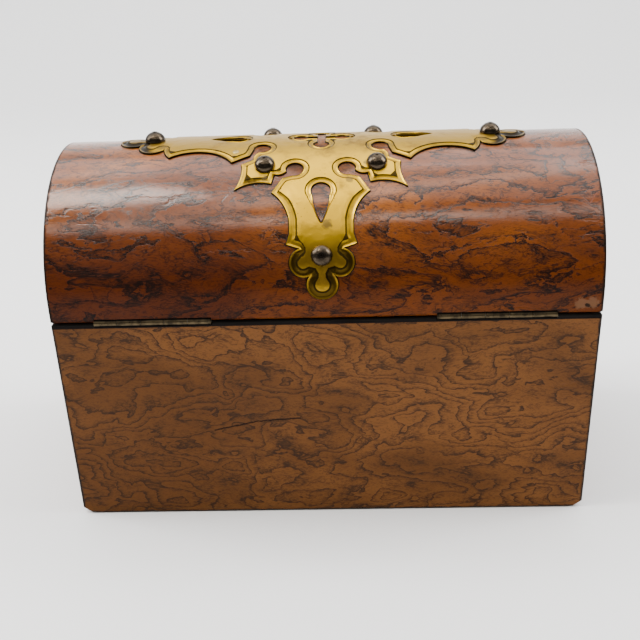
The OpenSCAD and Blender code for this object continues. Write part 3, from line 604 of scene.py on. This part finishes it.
def mount_dirt_and_shade(color, rough, stain):
    across, brown = attribute("across"), attribute("browned")
    # The engraved line is near black: old dirt in it, and painted shade of the groove.
    line_dirt_and_shade = times(smooth(across, 0.87, 0.94), smooth(across, 1.21, 1.13))
    hollow = times(smooth(across, 1.0, 0.92), smooth(across, 0.12, 0.34))
    dark = larger(smooth(stain, 0.2, 0.9, 0.28, 0.85), brown)
    # The fillet at the foot is made dark: old wax, and painted shadow round the plate.
    wax_and_shadow = smooth(across, 0.02, -0.15)
    for amount, tone in ((times(brown, 0.75), (0.11, 0.058, 0.010)),
                         (times(hollow, dark), (0.014, 0.009, 0.003)),
                         (times(line_dirt_and_shade, 0.94), (0.008, 0.006, 0.003)),
                         (wax_and_shadow, (0.012, 0.008, 0.004))):
        color = mix(amount, color, tone)
    ragged = times(noise(here(), 420.0, 3.0)[0], 1.1)
    for x, s, size in SPOTS:
        away = vec("DISTANCE", here(), tuple(c * MM for c in over_lid(x, s)))
        away = minus(ratio(away, size * MM), ragged)
        color = mix(smooth(away, 0.45, 0.15, 0.0, 0.75), color, (0.12, 0.085, 0.035))
    return color, plus(rough, times(line_dirt_and_shade, 0.3))


def joint_gap_shade(color, rough, stain):
    # The hinge is painted near black away from the joint's line: painted shade of the gap between lid and
    # base. The crown of the knuckles keeps its brass colour.
    z = add("SeparateXYZ", {0: here()}).outputs[2]
    off = math_node("ABSOLUTE", minus(z, JOINT_Z))
    color = mix(smooth(off, 0.0007, 0.0012), color, (0.006, 0.005, 0.004))
    return color, plus(rough, smooth(off, 0.0007, 0.0013, 0.0, 0.4))


print("dirt recipes ready, dark spots on the mount:", len(SPOTS))


# %% [markdown]
# ## Metals
# The metals share one recipe: a bright and a stained colour, pits darker still, and a
# surface that is never quite flat, which breaks up its reflections. A recipe for dirt and
# painted shade may be added.

# %% Brass, bronze and steel
def old_metal(name, bright, stained, cover, rough, scale, dirt_and_shade=None):
    mat, bsdf = new_finish(name, Metallic=1.0)
    made = place(tarnish, Scale=scale, Cover=cover)
    stain, pit = made["Stain"], made["Pit"]
    color = mix(stain, bright, stained)
    color = mix(times(pit, 0.8), color, tuple(c * 0.2 for c in stained))
    dull = smooth(stain, 0.0, 1.0, rough, rough + 0.16)
    # The added recipe paints dirt, and painted shade, over the colour.
    if dirt_and_shade:
        color, dull = dirt_and_shade(color, dull, stain)
    fine = bump(minus(times(made["Rub"], 0.4), pit), 0.12, 0.0002)
    normal = bump(noise(here(), 170.0, 2.0)[0], 0.22, 0.0012, fine)
    wire([(color, bsdf["Base Color"]), (dull, bsdf["Roughness"]), (normal, bsdf["Normal"])])
    return mat


mount_brass = old_metal("mount_brass", (0.58, 0.345, 0.014), (0.24, 0.140, 0.016), 0.42, 0.35, 70.0,
                        mount_dirt_and_shade)
lock_brass = old_metal("lock_brass", (0.40, 0.29, 0.11), (0.15, 0.10, 0.05), 0.50, 0.35, 120.0)
hinge_brass = old_metal("hinge_brass", (0.085, 0.063, 0.034), (0.028, 0.022, 0.014), 0.55, 0.36, 220.0,
                        joint_gap_shade)
bronze = old_metal("dark_bronze", (0.060, 0.045, 0.030), (0.020, 0.015, 0.011), 0.50, 0.22, 160.0)
steel = old_metal("old_steel", (0.36, 0.34, 0.32), (0.16, 0.12, 0.09), 0.45, 0.36, 200.0)
print("metals made")

# %% [markdown]
# ## The mount's plan
# Such a mount was pierced and sawn by hand from sheet brass, along arcs struck with
# compasses. So each edge here is an arc, or a bow of a set height over the straight
# line between two points, and nothing is traced point by point.

# %% Arcs and bows
A = np.array


def bow(p, q, h, n=24):
    """Points from p to q, q left out, on the arc that stands h to the left."""
    p, q = A(p, float), A(q, float)
    c = np.linalg.norm(q - p)
    r = c * c / (8 * abs(h)) + abs(h) / 2
    d = (q - p) / c
    m = (p + q) / 2 + math.copysign(1, h) * A((-d[1], d[0])) * (abs(h) - r)
    a0 = math.atan2(*(p - m)[::-1])
    a1 = math.atan2(*(q - m)[::-1])
    turn = (a1 - a0 + 3 * math.pi) % (2 * math.pi) - math.pi
    return [m + r * A((math.cos(a0 + turn * k / n), math.sin(a0 + turn * k / n))) for k in range(n)]


def polar(r, degrees):
    a = math.radians(degrees)
    return A((r * math.cos(a), r * math.sin(a)))


def arc(c, r, a0, a1, n=48):
    return [A(c) + polar(r, a) for a in np.linspace(a0, a1, n, endpoint=False)]


def swap(points):
    return [p[::-1] for p in points]


def half_arm(side, shoulder, bulge, reach):
    """Half the outline of an arm, from its side to its three-lobed end."""
    neck, lobe, waist = A((reach - 21.5, 9)), A((reach - 15.6, 7.7)), A((reach - 10.6, 4.8))
    a0 = math.degrees(math.atan2(*(neck - lobe)[::-1]))
    a1 = math.degrees(math.atan2(*(waist - lobe)[::-1]))
    return (side + bow(shoulder, neck, bulge, 8) + arc(lobe, 6, a0, a1, 36)
            + bow(waist, (reach, 0), 4, 18) + [A((reach, 0))])


print("a bow of 90 degrees has", len(bow((1, 0), (0, 1), 0.293)), "points")

# %% [markdown]
# ## One quarter of the mount
# The mount is alike left and right, front and back. One quarter is drawn, from the
# strap's end past its side, the two round notches and the pointed leaf to the end of
# the arm, and mirrored twice.

# %% The outline
ARM = 91.5
STRAP = LID_R * math.pi / 2 + 5 - 9.1
waist0, waist1 = (np.radians((53, 58.6)) * LID_R).tolist()
strap = half_arm(bow((40.6, 20.8), (waist0, 13.4), -1.45, 20) + [A((waist0, 13.4)), A((waist1, 13.4))],
                 (STRAP - 23.4, 14.8), 0.05, STRAP)
round_a, round_b = A((11.2, 28.1)), A((26.0, 12.0))
lobe_a, lobe_b = round_a + polar(4, 18), round_b + polar(4, 75)
quarter = (swap(strap)[::-1] + [A((16.3, 33.2))] + arc(round_a, 4, 80, 378)
           + bow(lobe_a, (20.1, 30.9), 0.9, 8) + [A((20.1, 30.9))]
           + bow((21.3, 36), (36.8, 38.8), -1.9) + bow((36.8, 38.8), (34.4, 24.6), -1.35)
           + [A((34.4, 24.6))] + bow((29.3, 21.6), lobe_b, 0.9, 8) + arc(round_b, 4, 75, 375)
           + [A((31.3, 18))]
           + half_arm(bow((39, 22.7), (ARM - 24.5, 18), -6.4), (ARM - 24.5, 18), 1, ARM))


def ring_of(quarter):
    """The whole outline, from its quarter."""
    q = [A(p) for p in quarter]
    right = q + [p * (1, -1) for p in q[::-1][1:]]
    return right + [p * (-1, 1) for p in right[::-1][1:-1]]


outline = ring_of(quarter)
print("outline points", len(outline))


# %% [markdown]
# ## The piercings
# Wood shows through a drop in each arm and strap, and through four joined lobes in the
# middle. A drop is most of a circle, closed by two bows that meet in a point.

# %% Drops and lobes
def drop(c, r, point, side=60):
    to = A((c, 0)) + polar(r, -side)
    start = to * (1, -1)
    return (arc((c, 0), r, side, 360 - side)
            + bow(to, (point, 0), -0.75, 18) + bow((point, 0), start, -0.75, 18))


def four_lobes(out=9.2, r=3.7, half=2.0):
    a = math.degrees(math.asin(half / r))
    lobe = arc((out, 0), r, 180 + a, 540 - a, 32)
    lobe += [A((out, 0)) + polar(r, 180 - a), A((half, half))]
    turn = [A(((c, -s), (s, c))) for c, s in ((1, 0), (0, 1), (-1, 0), (0, -1))]
    return [m @ p for m in turn for p in lobe]


d_arm, d_strap = drop(37.5, 3.9, 50), swap(drop(40.2, 4.4, 55))
mount_loops = [outline, four_lobes(), d_arm, [p * (-1, 1) for p in d_arm],
               d_strap, [p * (1, -1) for p in d_strap]]
print("piercings", len(mount_loops) - 1)


# %% [markdown]
# ## From a plan to a channelled plate
# A fine line is engraved beside each edge of the real mount, and from it a hollow runs
# out to a raised lip. Offsetting the outline would tangle in narrow tips. Instead the
# height is read from each point's distance to the nearest edge, so narrow tips get a
# ridge by themselves.

# %% Distance to the edges, and which side of them
def resampled(loop, step):
    loop = A(loop)
    out = []
    for p, q in zip(loop, np.roll(loop, -1, 0)):
        n = max(1, math.ceil(np.linalg.norm(q - p) / step - 0.2))
        if np.linalg.norm(q - p) > 1e-6:
            out += [p + (q - p) * k / n for k in range(n)]
    return A(out)


def edges_near(loops, low):
    """Start and end of each edge, without those far outside the quarter in work."""
    a = np.concatenate(loops)
    b = np.concatenate([np.roll(l, -1, 0) for l in loops])
    keep = (np.minimum(a, b) > low).all(1)
    return a[keep], b[keep]


def in_batches(measure, points, size=2000):
    parts = [measure(points[i:i + size]) for i in range(0, len(points), size)]
    return np.concatenate(parts or [np.zeros(0)])


def edge_distance(points, edges):
    a, b = edges
    ab = b - a
    ll = (ab ** 2).sum(1)

    def measure(p):
        px, py = p[:, :1] - a[:, 0], p[:, 1:] - a[:, 1]
        t = np.clip((px * ab[:, 0] + py * ab[:, 1]) / ll, 0, 1)
        return np.sqrt(((px - t * ab[:, 0]) ** 2 + (py - t * ab[:, 1]) ** 2).min(1))
    return in_batches(measure, points)


def inside(points, edges):
    """True where a line drawn along x from the point crosses an odd number of edges."""
    a, b = edges
    rise = b[:, 1] - a[:, 1]
    slope = (b[:, 0] - a[:, 0]) / np.where(rise == 0, 1, rise)

    def measure(p):
        x, y = p[:, :1], p[:, 1:]
        return (((y < a[:, 1]) != (y < b[:, 1])) & (x < a[:, 0] + (y - a[:, 1]) * slope)).sum(1) % 2
    return in_batches(measure, points) == 1


print("the mount is drawn with", sum(len(resampled(l, 0.55)) for l in mount_loops), "edges")


# %% [markdown]
# ## Points of the mesh
# Rings of points at set shares of the channel's width keep its line and lip crisp. More
# points stand on the ridges of narrow tips, on the mirror lines, where the quarters
# have to meet, and in an even scatter in the open metal.

# %% Rings, ridges and mirror lines
RINGS = (0.10, 0.28, 0.46, 0.66, 0.86, 1.0, 1.12)


def thinned(points, gap, taken=()):
    """Drops points that stand nearer than gap to one kept before."""
    cell, kept = {}, []
    for p in taken:
        cell.setdefault((int(p[0] // gap), int(p[1] // gap)), []).append(p)
    for p in points:
        i, j = int(p[0] // gap), int(p[1] // gap)
        near = (q for a in (-1, 0, 1) for b in (-1, 0, 1) for q in cell.get((i + a, j + b), ()))
        if all((p[0] - q[0]) ** 2 + (p[1] - q[1]) ** 2 >= gap * gap for q in near):
            cell.setdefault((i, j), []).append(p)
            kept.append(p)
    return A(kept).reshape(-1, 2)


def ring_points(loops, edges, width, keep, gap):
    rings = []
    for share in RINGS:
        made = []
        for loop in loops:
            along = np.roll(loop, -1, 0) - np.roll(loop, 1, 0)
            across = np.stack([along[:, 1], -along[:, 0]], 1) / np.linalg.norm(along, axis=1)[:, None]
            for side in (1, -1):
                p = loop + side * across * (width(loop) * share)[:, None]
                p = p[keep(p)]
                p = p[inside(p, edges)]
                made.append(p[edge_distance(p, edges) > width(p) * share * 0.97])
        rings.append(thinned(np.concatenate(made), gap))
    return rings


def crest_points(loops, edges, width, keep, step):
    """Points where two edges are equally near, and an even scatter in open metal."""
    lo, hi = np.concatenate(loops).min(0), np.concatenate(loops).max(0)
    nearest = edges[0].min(0)
    if (nearest > -4).all():
        lo = np.maximum(lo, nearest + 3.5)
    gx, gy = np.meshgrid(np.arange(lo[0] + 0.11, hi[0], step), np.arange(lo[1] + 0.13, hi[1], step))
    grid = np.stack([gx.ravel(), gy.ravel()], 1)
    d = edge_distance(grid, edges)
    dy, dx = np.gradient(d.reshape(gx.shape), step)
    steep = np.hypot(dx, dy).ravel()
    ok = keep(grid) & inside(grid, edges)
    w = width(grid)
    crest = ok & (steep < 0.80) & (d > 0.45) & (d < w * 1.1)
    order = np.argsort(-d[crest])
    return grid[crest][order], grid[ok & (d > w * 1.13 + 0.35)]


def axis_points(rim, edges, mirrors):
    axis = [np.zeros((0, 2))]
    for i in (0, 1):
        if mirrors[i]:
            line = np.zeros((400, 2))
            line[:, 1 - i] = np.linspace(0, rim[:, 1 - i].max(), 400)
            axis.append(line)
    axis = np.concatenate(axis)
    axis = axis[inside(axis + 1e-4, edges) & (edge_distance(axis, edges) > 0.25)]
    return thinned(axis, 0.6)


print("rings across the channel", RINGS)


# %% [markdown]
# ## Heights of the plate
# A Delaunay mesh joins all the points and keeps the plan's edges. The height follows
# the share across the channel: up from the lip to the flat, less a hollow between them,
# less the engraved line just past the end.

# %% Mesh the plan and lift it
LINE_AT, LINE_HALF, LINE_DEEP = 1.02, 0.10, 0.18


def plate_mesh(loops, width, top, edge, hollow, step=0.55, open_step=1.7, mirrors=(True, True)):
    """(points, triangles, height, share across the channel) of a plate."""
    loops = [resampled(l, step) for l in loops]
    edges = edges_near(loops, A([-4.0 if m else -1e9 for m in mirrors]))
    keep = lambda p: ((p > -1e-6) | ~A(mirrors)).all(1)
    near_axis = lambda p: ((np.abs(p) < 0.3) & A(mirrors)).any(1)
    rim = np.concatenate(loops)
    rim = rim[keep(rim)]
    rings = ring_points(loops, edges, width, keep, step * 0.55)
    fixed = np.concatenate([rim] + rings)
    crest, wide = crest_points(loops, edges, width, keep, 0.36)
    crest = thinned(crest, 0.5, fixed)
    wide = thinned(wide, open_step, np.concatenate([fixed, crest]))
    parts = [rim] + [p[~near_axis(p)] for p in rings + [crest, wide]] + [axis_points(rim, edges, mirrors)]
    points = np.concatenate(parts)
    index = {tuple(np.round(p, 5)): i for i, p in enumerate(points)}
    lines = []
    for loop in loops:
        ids = [index.get(tuple(np.round(p, 5))) for p in loop]
        lines += [(i, j) for i, j in zip(ids, ids[1:] + ids[:1]) if None not in (i, j) and i != j]
    verts, _, faces, *_ = delaunay_2d_cdt([Vector(p) for p in points], lines, [], 0, 1e-6)
    verts, tri = A([tuple(v) for v in verts]), A(faces)
    mid = verts[tri].mean(1)
    tri = tri[inside(mid, edges) & keep(mid)]
    share = edge_distance(verts, edges) / width(verts)
    t = np.clip(share, 0, 1)
    height = edge + (top - edge) * t - hollow * 4 * t * (1 - t)
    height -= LINE_DEEP * np.clip(1 - np.abs(share - LINE_AT) / LINE_HALF, 0, 1)
    return verts, tri, height, share


print("engraved line", LINE_DEEP, "mm deep")


# %% [markdown]
# ## From a bmesh to an object
# The mount, the studs and the floor are built as a bmesh, Blender's mesh for editing in
# code. Faces are shaded smooth, and edges sharper than a set angle stay crisp.

# %% Make a smooth object
def smooth_object(name, bm, sharp=None):
    bmesh.ops.recalc_face_normals(bm, faces=bm.faces)
    mesh = bpy.data.meshes.new(name)
    bm.to_mesh(mesh)
    bm.free()
    mesh.polygons.foreach_set("use_smooth", [True] * len(mesh.polygons))
    if sharp:
        mesh.set_sharp_from_angle(angle=math.radians(sharp))
    return new_object(name, mesh)


print("smooth_object ready")


# %% [markdown]
# ## Bend the plate over the lid
# The quarter is mirrored, and its twin below makes the underside, a hair above the
# veneer. A dark fillet at the plate's foot stands for old wax and for painted shadow along
# the edge, so the twin's edge is set out a little before the sides are closed. Then the
# plan is rolled over the lid.

# %% Close the plate and give it its shape in space
# Width of the dark fillet at the foot: old wax, and painted shadow round the plate.
WAX_AND_SHADOW = 0.45


def fill(bm, verts, tri, height, share, brown, mirrors):
    """Adds the plan and its mirror images, with the upper face looking up."""
    across = bm.verts.layers.float.new("across")
    browned = bm.verts.layers.float.new("browned")
    for mx in (1, -1) if mirrors[0] else (1,):
        for my in (1, -1) if mirrors[1] else (1,):
            row = [bm.verts.new((x * mx, y * my, h)) for (x, y), h in zip(verts, height)]
            for v, t, b in zip(row, share, brown):
                v[across] = min(float(t), 2.0)
                v[browned] = float(b)
            for a, b, c in tri:
                bm.faces.new((row[a], row[b], row[c]) if mx * my > 0 else (row[a], row[c], row[b]))
    bmesh.ops.remove_doubles(bm, verts=bm.verts, dist=2e-4)
    bmesh.ops.recalc_face_normals(bm, faces=bm.faces)
    if sum(f.normal.z for f in bm.faces) < 0:
        bmesh.ops.reverse_faces(bm, faces=bm.faces)


def close(bm, under):
    """Adds the underside and the sides."""
    rim = [tuple(e.verts) for e in bm.edges if e.is_boundary]
    outward = {}
    for e in bm.edges:
        if e.is_boundary:
            a, b = e.verts
            away = (a.co + b.co) / 2 - e.link_faces[0].calc_center_median()
            n = Vector((b.co.y - a.co.y, a.co.x - b.co.x, 0)).normalized()
            n *= 1 if n.dot(away) > 0 else -1
            for v in (a, b):
                outward[v] = outward.get(v, Vector((0, 0, 0))) + n
    lower = bmesh.ops.duplicate(bm, geom=list(bm.faces))
    twin = lower["vert_map"]
    bmesh.ops.reverse_faces(bm, faces=[e for e in lower["geom"] if isinstance(e, bmesh.types.BMFace)])
    for e in lower["geom"]:
        if isinstance(e, bmesh.types.BMVert):
            e.co.z = under
    across = bm.verts.layers.float["across"]
    # The twin's edge is set out into the dark fillet: old wax, and painted shadow round the plate.
    for v, n in outward.items():
        twin[v].co += n.normalized() * WAX_AND_SHADOW
        twin[v][across] = -1.0
    for a, b in rim:
        bm.faces.new((a, b, twin[b], twin[a]))


def plate_object(name, loops, to_space, width, top, edge, hollow, under, brown,
                 mirrors=(True, True), **steps):
    verts, tri, height, share = plate_mesh(loops, width, top, edge, hollow, mirrors=mirrors, **steps)
    used, tri = np.unique(tri, return_inverse=True)
    bm = bmesh.new()
    fill(bm, verts[used], tri.reshape(-1, 3), height[used], share[used], brown(verts)[used], mirrors)
    close(bm, under)
    for v in bm.verts:
        v.co = Vector(to_space(*v.co)) * MM
    return smooth_object(name, bm, 24)


print("wax at the foot", WAX_AND_SHADOW, "mm")


# %% [markdown]
# ## The brass mount
# The channel is wider in the end lobes and at the strap's sides, and it dies out
# towards the drops' points. The ends of arms and straps, and the top, are browner than
# the middle.

# %% Make the mount
def ramp(value, start, length):
    return np.clip((value - start) / length, 0, 1)


def mount_width(p):
    x, y = np.abs(p).T
    w = 2.1 + 1.0 * ramp(np.maximum(x - ARM, y - STRAP), -21, 3)
    w += 0.8 * ramp(y, 40, 4) * ramp(x, 8, 1) * (y < STRAP - 21)
    point = np.maximum(ramp(y, 41, 9) * (x < 6.6) * (y < 58), ramp(x, 38, 9) * (y < 6) * (x < 53))
    return w * (1 - 0.85 * point * point * (3 - 2 * point))


def mount_browned(p):
    x, y = np.abs(p).T
    ends = 0.85 * ramp(np.maximum(x - ARM - 8, y - STRAP), -25, 5)
    top = np.clip((36 - y) / 24, 0, 1) * (0.30 + 0.16 * ramp(x, 20, 30))
    return np.clip(ends + top, 0, 1)


mount = plate_object("brass_mount", mount_loops, over_lid, mount_width,
                     1.17, 0.82, 0.50, 0.03, mount_browned)
mount.data.materials.append(mount_brass)
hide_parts("strap_mount")
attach(mount, "lid")
print("mount", len(mount.data.polygons), "faces")


# %% [markdown]
# ## Turned pieces
# A stud is turned on a lathe, so one profile is spun about its axis. Each stands square
# to the lid at a place of the flat plan.

# %% Spin a profile
def turned_piece(name, profile, places, count=56):
    bm = bmesh.new()
    for place_at in places:
        rows = []
        for r, z in profile:
            n = 1 if r < 1e-6 else count
            circle = [Vector((*polar(r, 360 * k / n), z)) for k in range(n)]
            rows.append([bm.verts.new(place_at @ p * MM) for p in circle])
        for low, high in zip(rows, rows[1:]):
            for k in range(count):
                j = (k + 1) % count
                face = [low[k % len(low)], low[j % len(low)], high[j % len(high)], high[k % len(high)]]
                bm.faces.new(list(dict.fromkeys(face)))
    return smooth_object(name, bm, 40)


def on_lid(x, s):
    return Matrix.Translation(over_lid(x, s)) @ Matrix.Rotation(-s / LID_R, 4, "X")


print("the strap's stud stands at", tuple(on_lid(0, STRAP - 18.5).translation))

# %% [markdown]
# ## Domed studs
# Eight dark domes hide the pins of the mount. Each has a small flat on top, in which a
# raised ring stands round a hole. One profile makes them all.

# %% Make the studs
BASE = 1.2
DOME_R, DOME_H = 4.58, 4.06
dome = [(0, BASE - 0.9), (1.2, BASE - 0.9), (1.2, BASE), (4.35, BASE), (DOME_R, BASE + 0.12)]
dome += [polar(1, a) * (DOME_R, DOME_H) + (0, BASE + 0.12) for a in range(6, 73, 6)]
flat_z = dome[-1][1]
dome += [(1.30, flat_z + 0.02), (1.22, flat_z + 0.20), (1.02, flat_z + 0.24), (0.70, flat_z + 0.20),
         (0.60, flat_z - 0.15), (0, flat_z - 0.22)]
studs = {"strap_studs": [(0, s * (STRAP - 18.5)) for s in (1, -1)],
         "leaf_studs": [(x, s) for x in (24.2, -24.2) for s in (26, -26)],
         "arm_studs": [(s * (ARM - 15.5), 0) for s in (1, -1)]}
for node, spots in studs.items():
    obj = turned_piece("domed_" + node, dome, [on_lid(*p) for p in spots])
    obj.data.materials.append(bronze)
    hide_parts(node)
    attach(obj, "lid")
print("studs made", sum(map(len, studs.values())))

# %% [markdown]
# ## The small pin
# The photograph shows one small flat pin head beside a leaf, which may be a later
# repair. It is turned as the studs are, but left in plain brass.

# %% The small pin of the mount
pin_head = [(0, 0.9), (1.4, 0.9), (1.45, 1.25), (1.25, 1.38),
            (0.95, 1.40), (0.86, 1.30), (0.4, 1.34), (0, 1.36)]
pin = turned_piece("small_mount_pin", pin_head, [on_lid(37.5, 15.5)], 28)
pin.data.materials.append(lock_brass)
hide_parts("mount_pin")
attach(pin, "lid")
print("pin made")

# %% [markdown]
# ## Keyhole plate
# The front is not seen in the photograph. Its plate is cut and channelled as the mount
# is, with four lobes round the keyhole, which isn't symmetric, so the whole is meshed.

# %% Make the keyhole plate
KEY_R = 6.0
key_lo, key_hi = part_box("keyhole_plate")
KEY_Z = (key_lo[2] + key_hi[2]) / 2 / MM
FRONT_Y = key_hi[1] / MM


def key_outline(n=240):
    points = []
    for k in range(n):
        t = 360 * k / n
        lobes = 2 * np.abs(polar(KEY_R, t)).max()
        square = KEY_R * 1.3 / np.abs(polar(1, t - 45)).max()
        points.append(polar(max(lobes, square), t))
    return points


def key_hole(r=2.2, half=1.1, neck=-1.905, foot=-6.0):
    a = math.degrees(math.asin(half / r))
    slot = ((-half, neck), (-half, foot), (half, foot), (half, neck))
    return arc((0, 0), r, -90 + a, 270 - a, 36) + [A(p) for p in slot]


plate = plate_object("bevelled_keyhole_plate", [key_outline(), key_hole()],
                     lambda x, y, h: (x, FRONT_Y - h, KEY_Z + y), lambda p: np.full(len(p), 1.25),
                     0.78, 0.55, 0.30, 0.0, lambda p: np.full(len(p), 0.2),
                     mirrors=(False, False), step=0.4, open_step=1.2)
plate.data.materials.append(mount_brass)
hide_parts("keyhole_plate")
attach(plate, "base")
print("keyhole plate", len(plate.data.polygons), "faces")

# %% [markdown]
# ## Give every carried-over piece its finish
# The boards, linings, hinges and lock keep their shapes. Each gets its finish, and most
# get a hair of rounding on their arrises, because no hand-made edge is quite sharp. The
# first row that holds the start of a piece's name gives the finish.

# %% Finishes of the CAD pieces
finishes = (
    (burr_lid, "lid_dome_veneer"),
    (burr_end, "veneer_left veneer_right lid_left_veneer lid_right_veneer"),
    (burr_base, "veneer_"), (ebony, "rim_"), (baize, "base_baize"),
    (lining_paper, "floor_paper lid_paper"), (mahogany_ends, "lining_left lining_right"),
    (mahogany, "lining_ divider_"),
    (steel, "lock_bolt lock_spring lock_drill_pin hinge_left_pin hinge_right_pin"),
    (hinge_brass, "hinge_"), (lock_brass, "lock_ link_ keyhole_plate_pins"), (softwood, "base_ lid_"))
soft_arris = {"veneer_": 0.25, "rim_": 0.2, "lining_": 0.4, "divider_": 0.5, "hinge_": 0.12,
              "lock_": 0.15, "link_": 0.15}
replaced = {*studs, "strap_mount", "mount_pin", "keyhole_plate"}
for name, obj in nodes.items():
    if obj.hide_render or name in replaced:
        continue
    finish = next(m for m, starts in finishes if name.startswith(tuple(starts.split())))
    obj.data.materials.clear()
    obj.data.materials.append(finish)
    size = next((w for start, w in soft_arris.items() if name.startswith(start)), 0)
    if size and "screws" not in name:
        mod = obj.modifiers.new("soft_arris", "BEVEL")
        mod.width = size * MM
        mod.segments = 2
        mod.limit_method = "ANGLE"
        mod.angle_limit = math.radians(40)
print("finished", len(nodes), "nodes")


# %% [markdown]
# ## Paper sweep
# The photograph was taken on pale paper. The sweep is one sheet that curves up behind
# the box, so no corner shows between floor and wall.

# %% Floor and backdrop
def stage_piece(name, bm, tone, **plain):
    obj = smooth_object(name, bm)
    mat, bsdf = new_finish(name + "_finish", **plain)
    bsdf["Base Color"].default_value = (tone, tone, tone, 1)
    obj.data.materials.append(mat)


def sheet(profile, half=2.2):
    """A sheet along x, through the (y, z) points of its profile."""
    bm = bmesh.new()
    rows = [[bm.verts.new((x, y, z)) for x in (-half, half)] for y, z in profile]
    for (a, b), (c, d) in zip(rows, rows[1:]):
        bm.faces.new((a, b, d, c))
    return bm


BEND_Y, BEND_R = -0.85, 0.45
profile = [(1.4, 0.0), (BEND_Y, 0.0)]
profile += [A((BEND_Y, BEND_R)) + polar(BEND_R, 270 - a) for a in range(6, 91, 6)]
profile += [(BEND_Y - BEND_R, 1.8)]
stage_piece("paper_sweep", sheet(profile), 0.80, Roughness=0.8)
print("sweep of", len(profile), "rows")


# %% [markdown]
# ## Light
# A window-like light stands on the photograph's left, and two narrow ones draw the long
# highlights on the barrel. A broad light hangs overhead, large ones at both sides give
# the metal something to mirror, and a last one brightens the backdrop.

# %% Lights
def softbox(name, at, aim, size, watts, color=(1, 1, 1)):
    data = bpy.data.lights.new(name, "AREA")
    data.shape = "RECTANGLE"
    data.size, data.size_y = size
    data.energy = watts
    data.color = color
    obj = new_object(name, data)
    obj.location = at
    obj.rotation_euler = (Vector(aim) - Vector(at)).to_track_quat("-Z", "Y").to_euler()


lid_point, low_point = (0, 0.03, 0.14), (0, -0.05, 0.05)
warm = (1.0, 0.95, 0.88)
softbox("left_window", (0.47, 0.17, 1.16), lid_point, (0.30, 0.50), 7.0, warm)
softbox("strip_low", (-0.10, 0.70, 1.15), lid_point, (1.5, 0.12), 3.8, warm)
softbox("strip_high", (-0.10, 0.12, 1.25), lid_point, (1.5, 0.12), 2.2, warm)
softbox("overhead", (0.0, -0.05, 1.55), (0, -0.05, 0), (2.6, 1.1), 17)
softbox("side_left", (1.30, -0.10, 1.00), low_point, (0.7, 0.9), 34)
softbox("side_right", (-1.30, -0.10, 1.00), low_point, (0.7, 0.9), 29)
softbox("over_back", (0.0, -0.45, 1.00), (0, -0.30, 0), (2.0, 0.5), 11)
world = bpy.data.worlds.new("studio")
bpy.context.scene.world = world
world.use_nodes = True
background = world.node_tree.nodes["Background"].inputs
background["Color"].default_value = (0.97, 0.98, 1.0, 1)
background["Strength"].default_value = 0.16

# %% [markdown]
# ## Grey curtain
# Polished wood mirrors what is behind the camera. In the photograph that side is dim,
# so the back of the box stays deep in colour. A grey curtain does the same here, and it
# is no part of the object.

# %% Curtain behind the camera
stage_piece("grey_curtain", sheet([(1.39, 0.0), (1.42, 1.2)]), 0.13, Roughness=0.9, Specular_IOR_Level=0.0)
print("curtain hung")
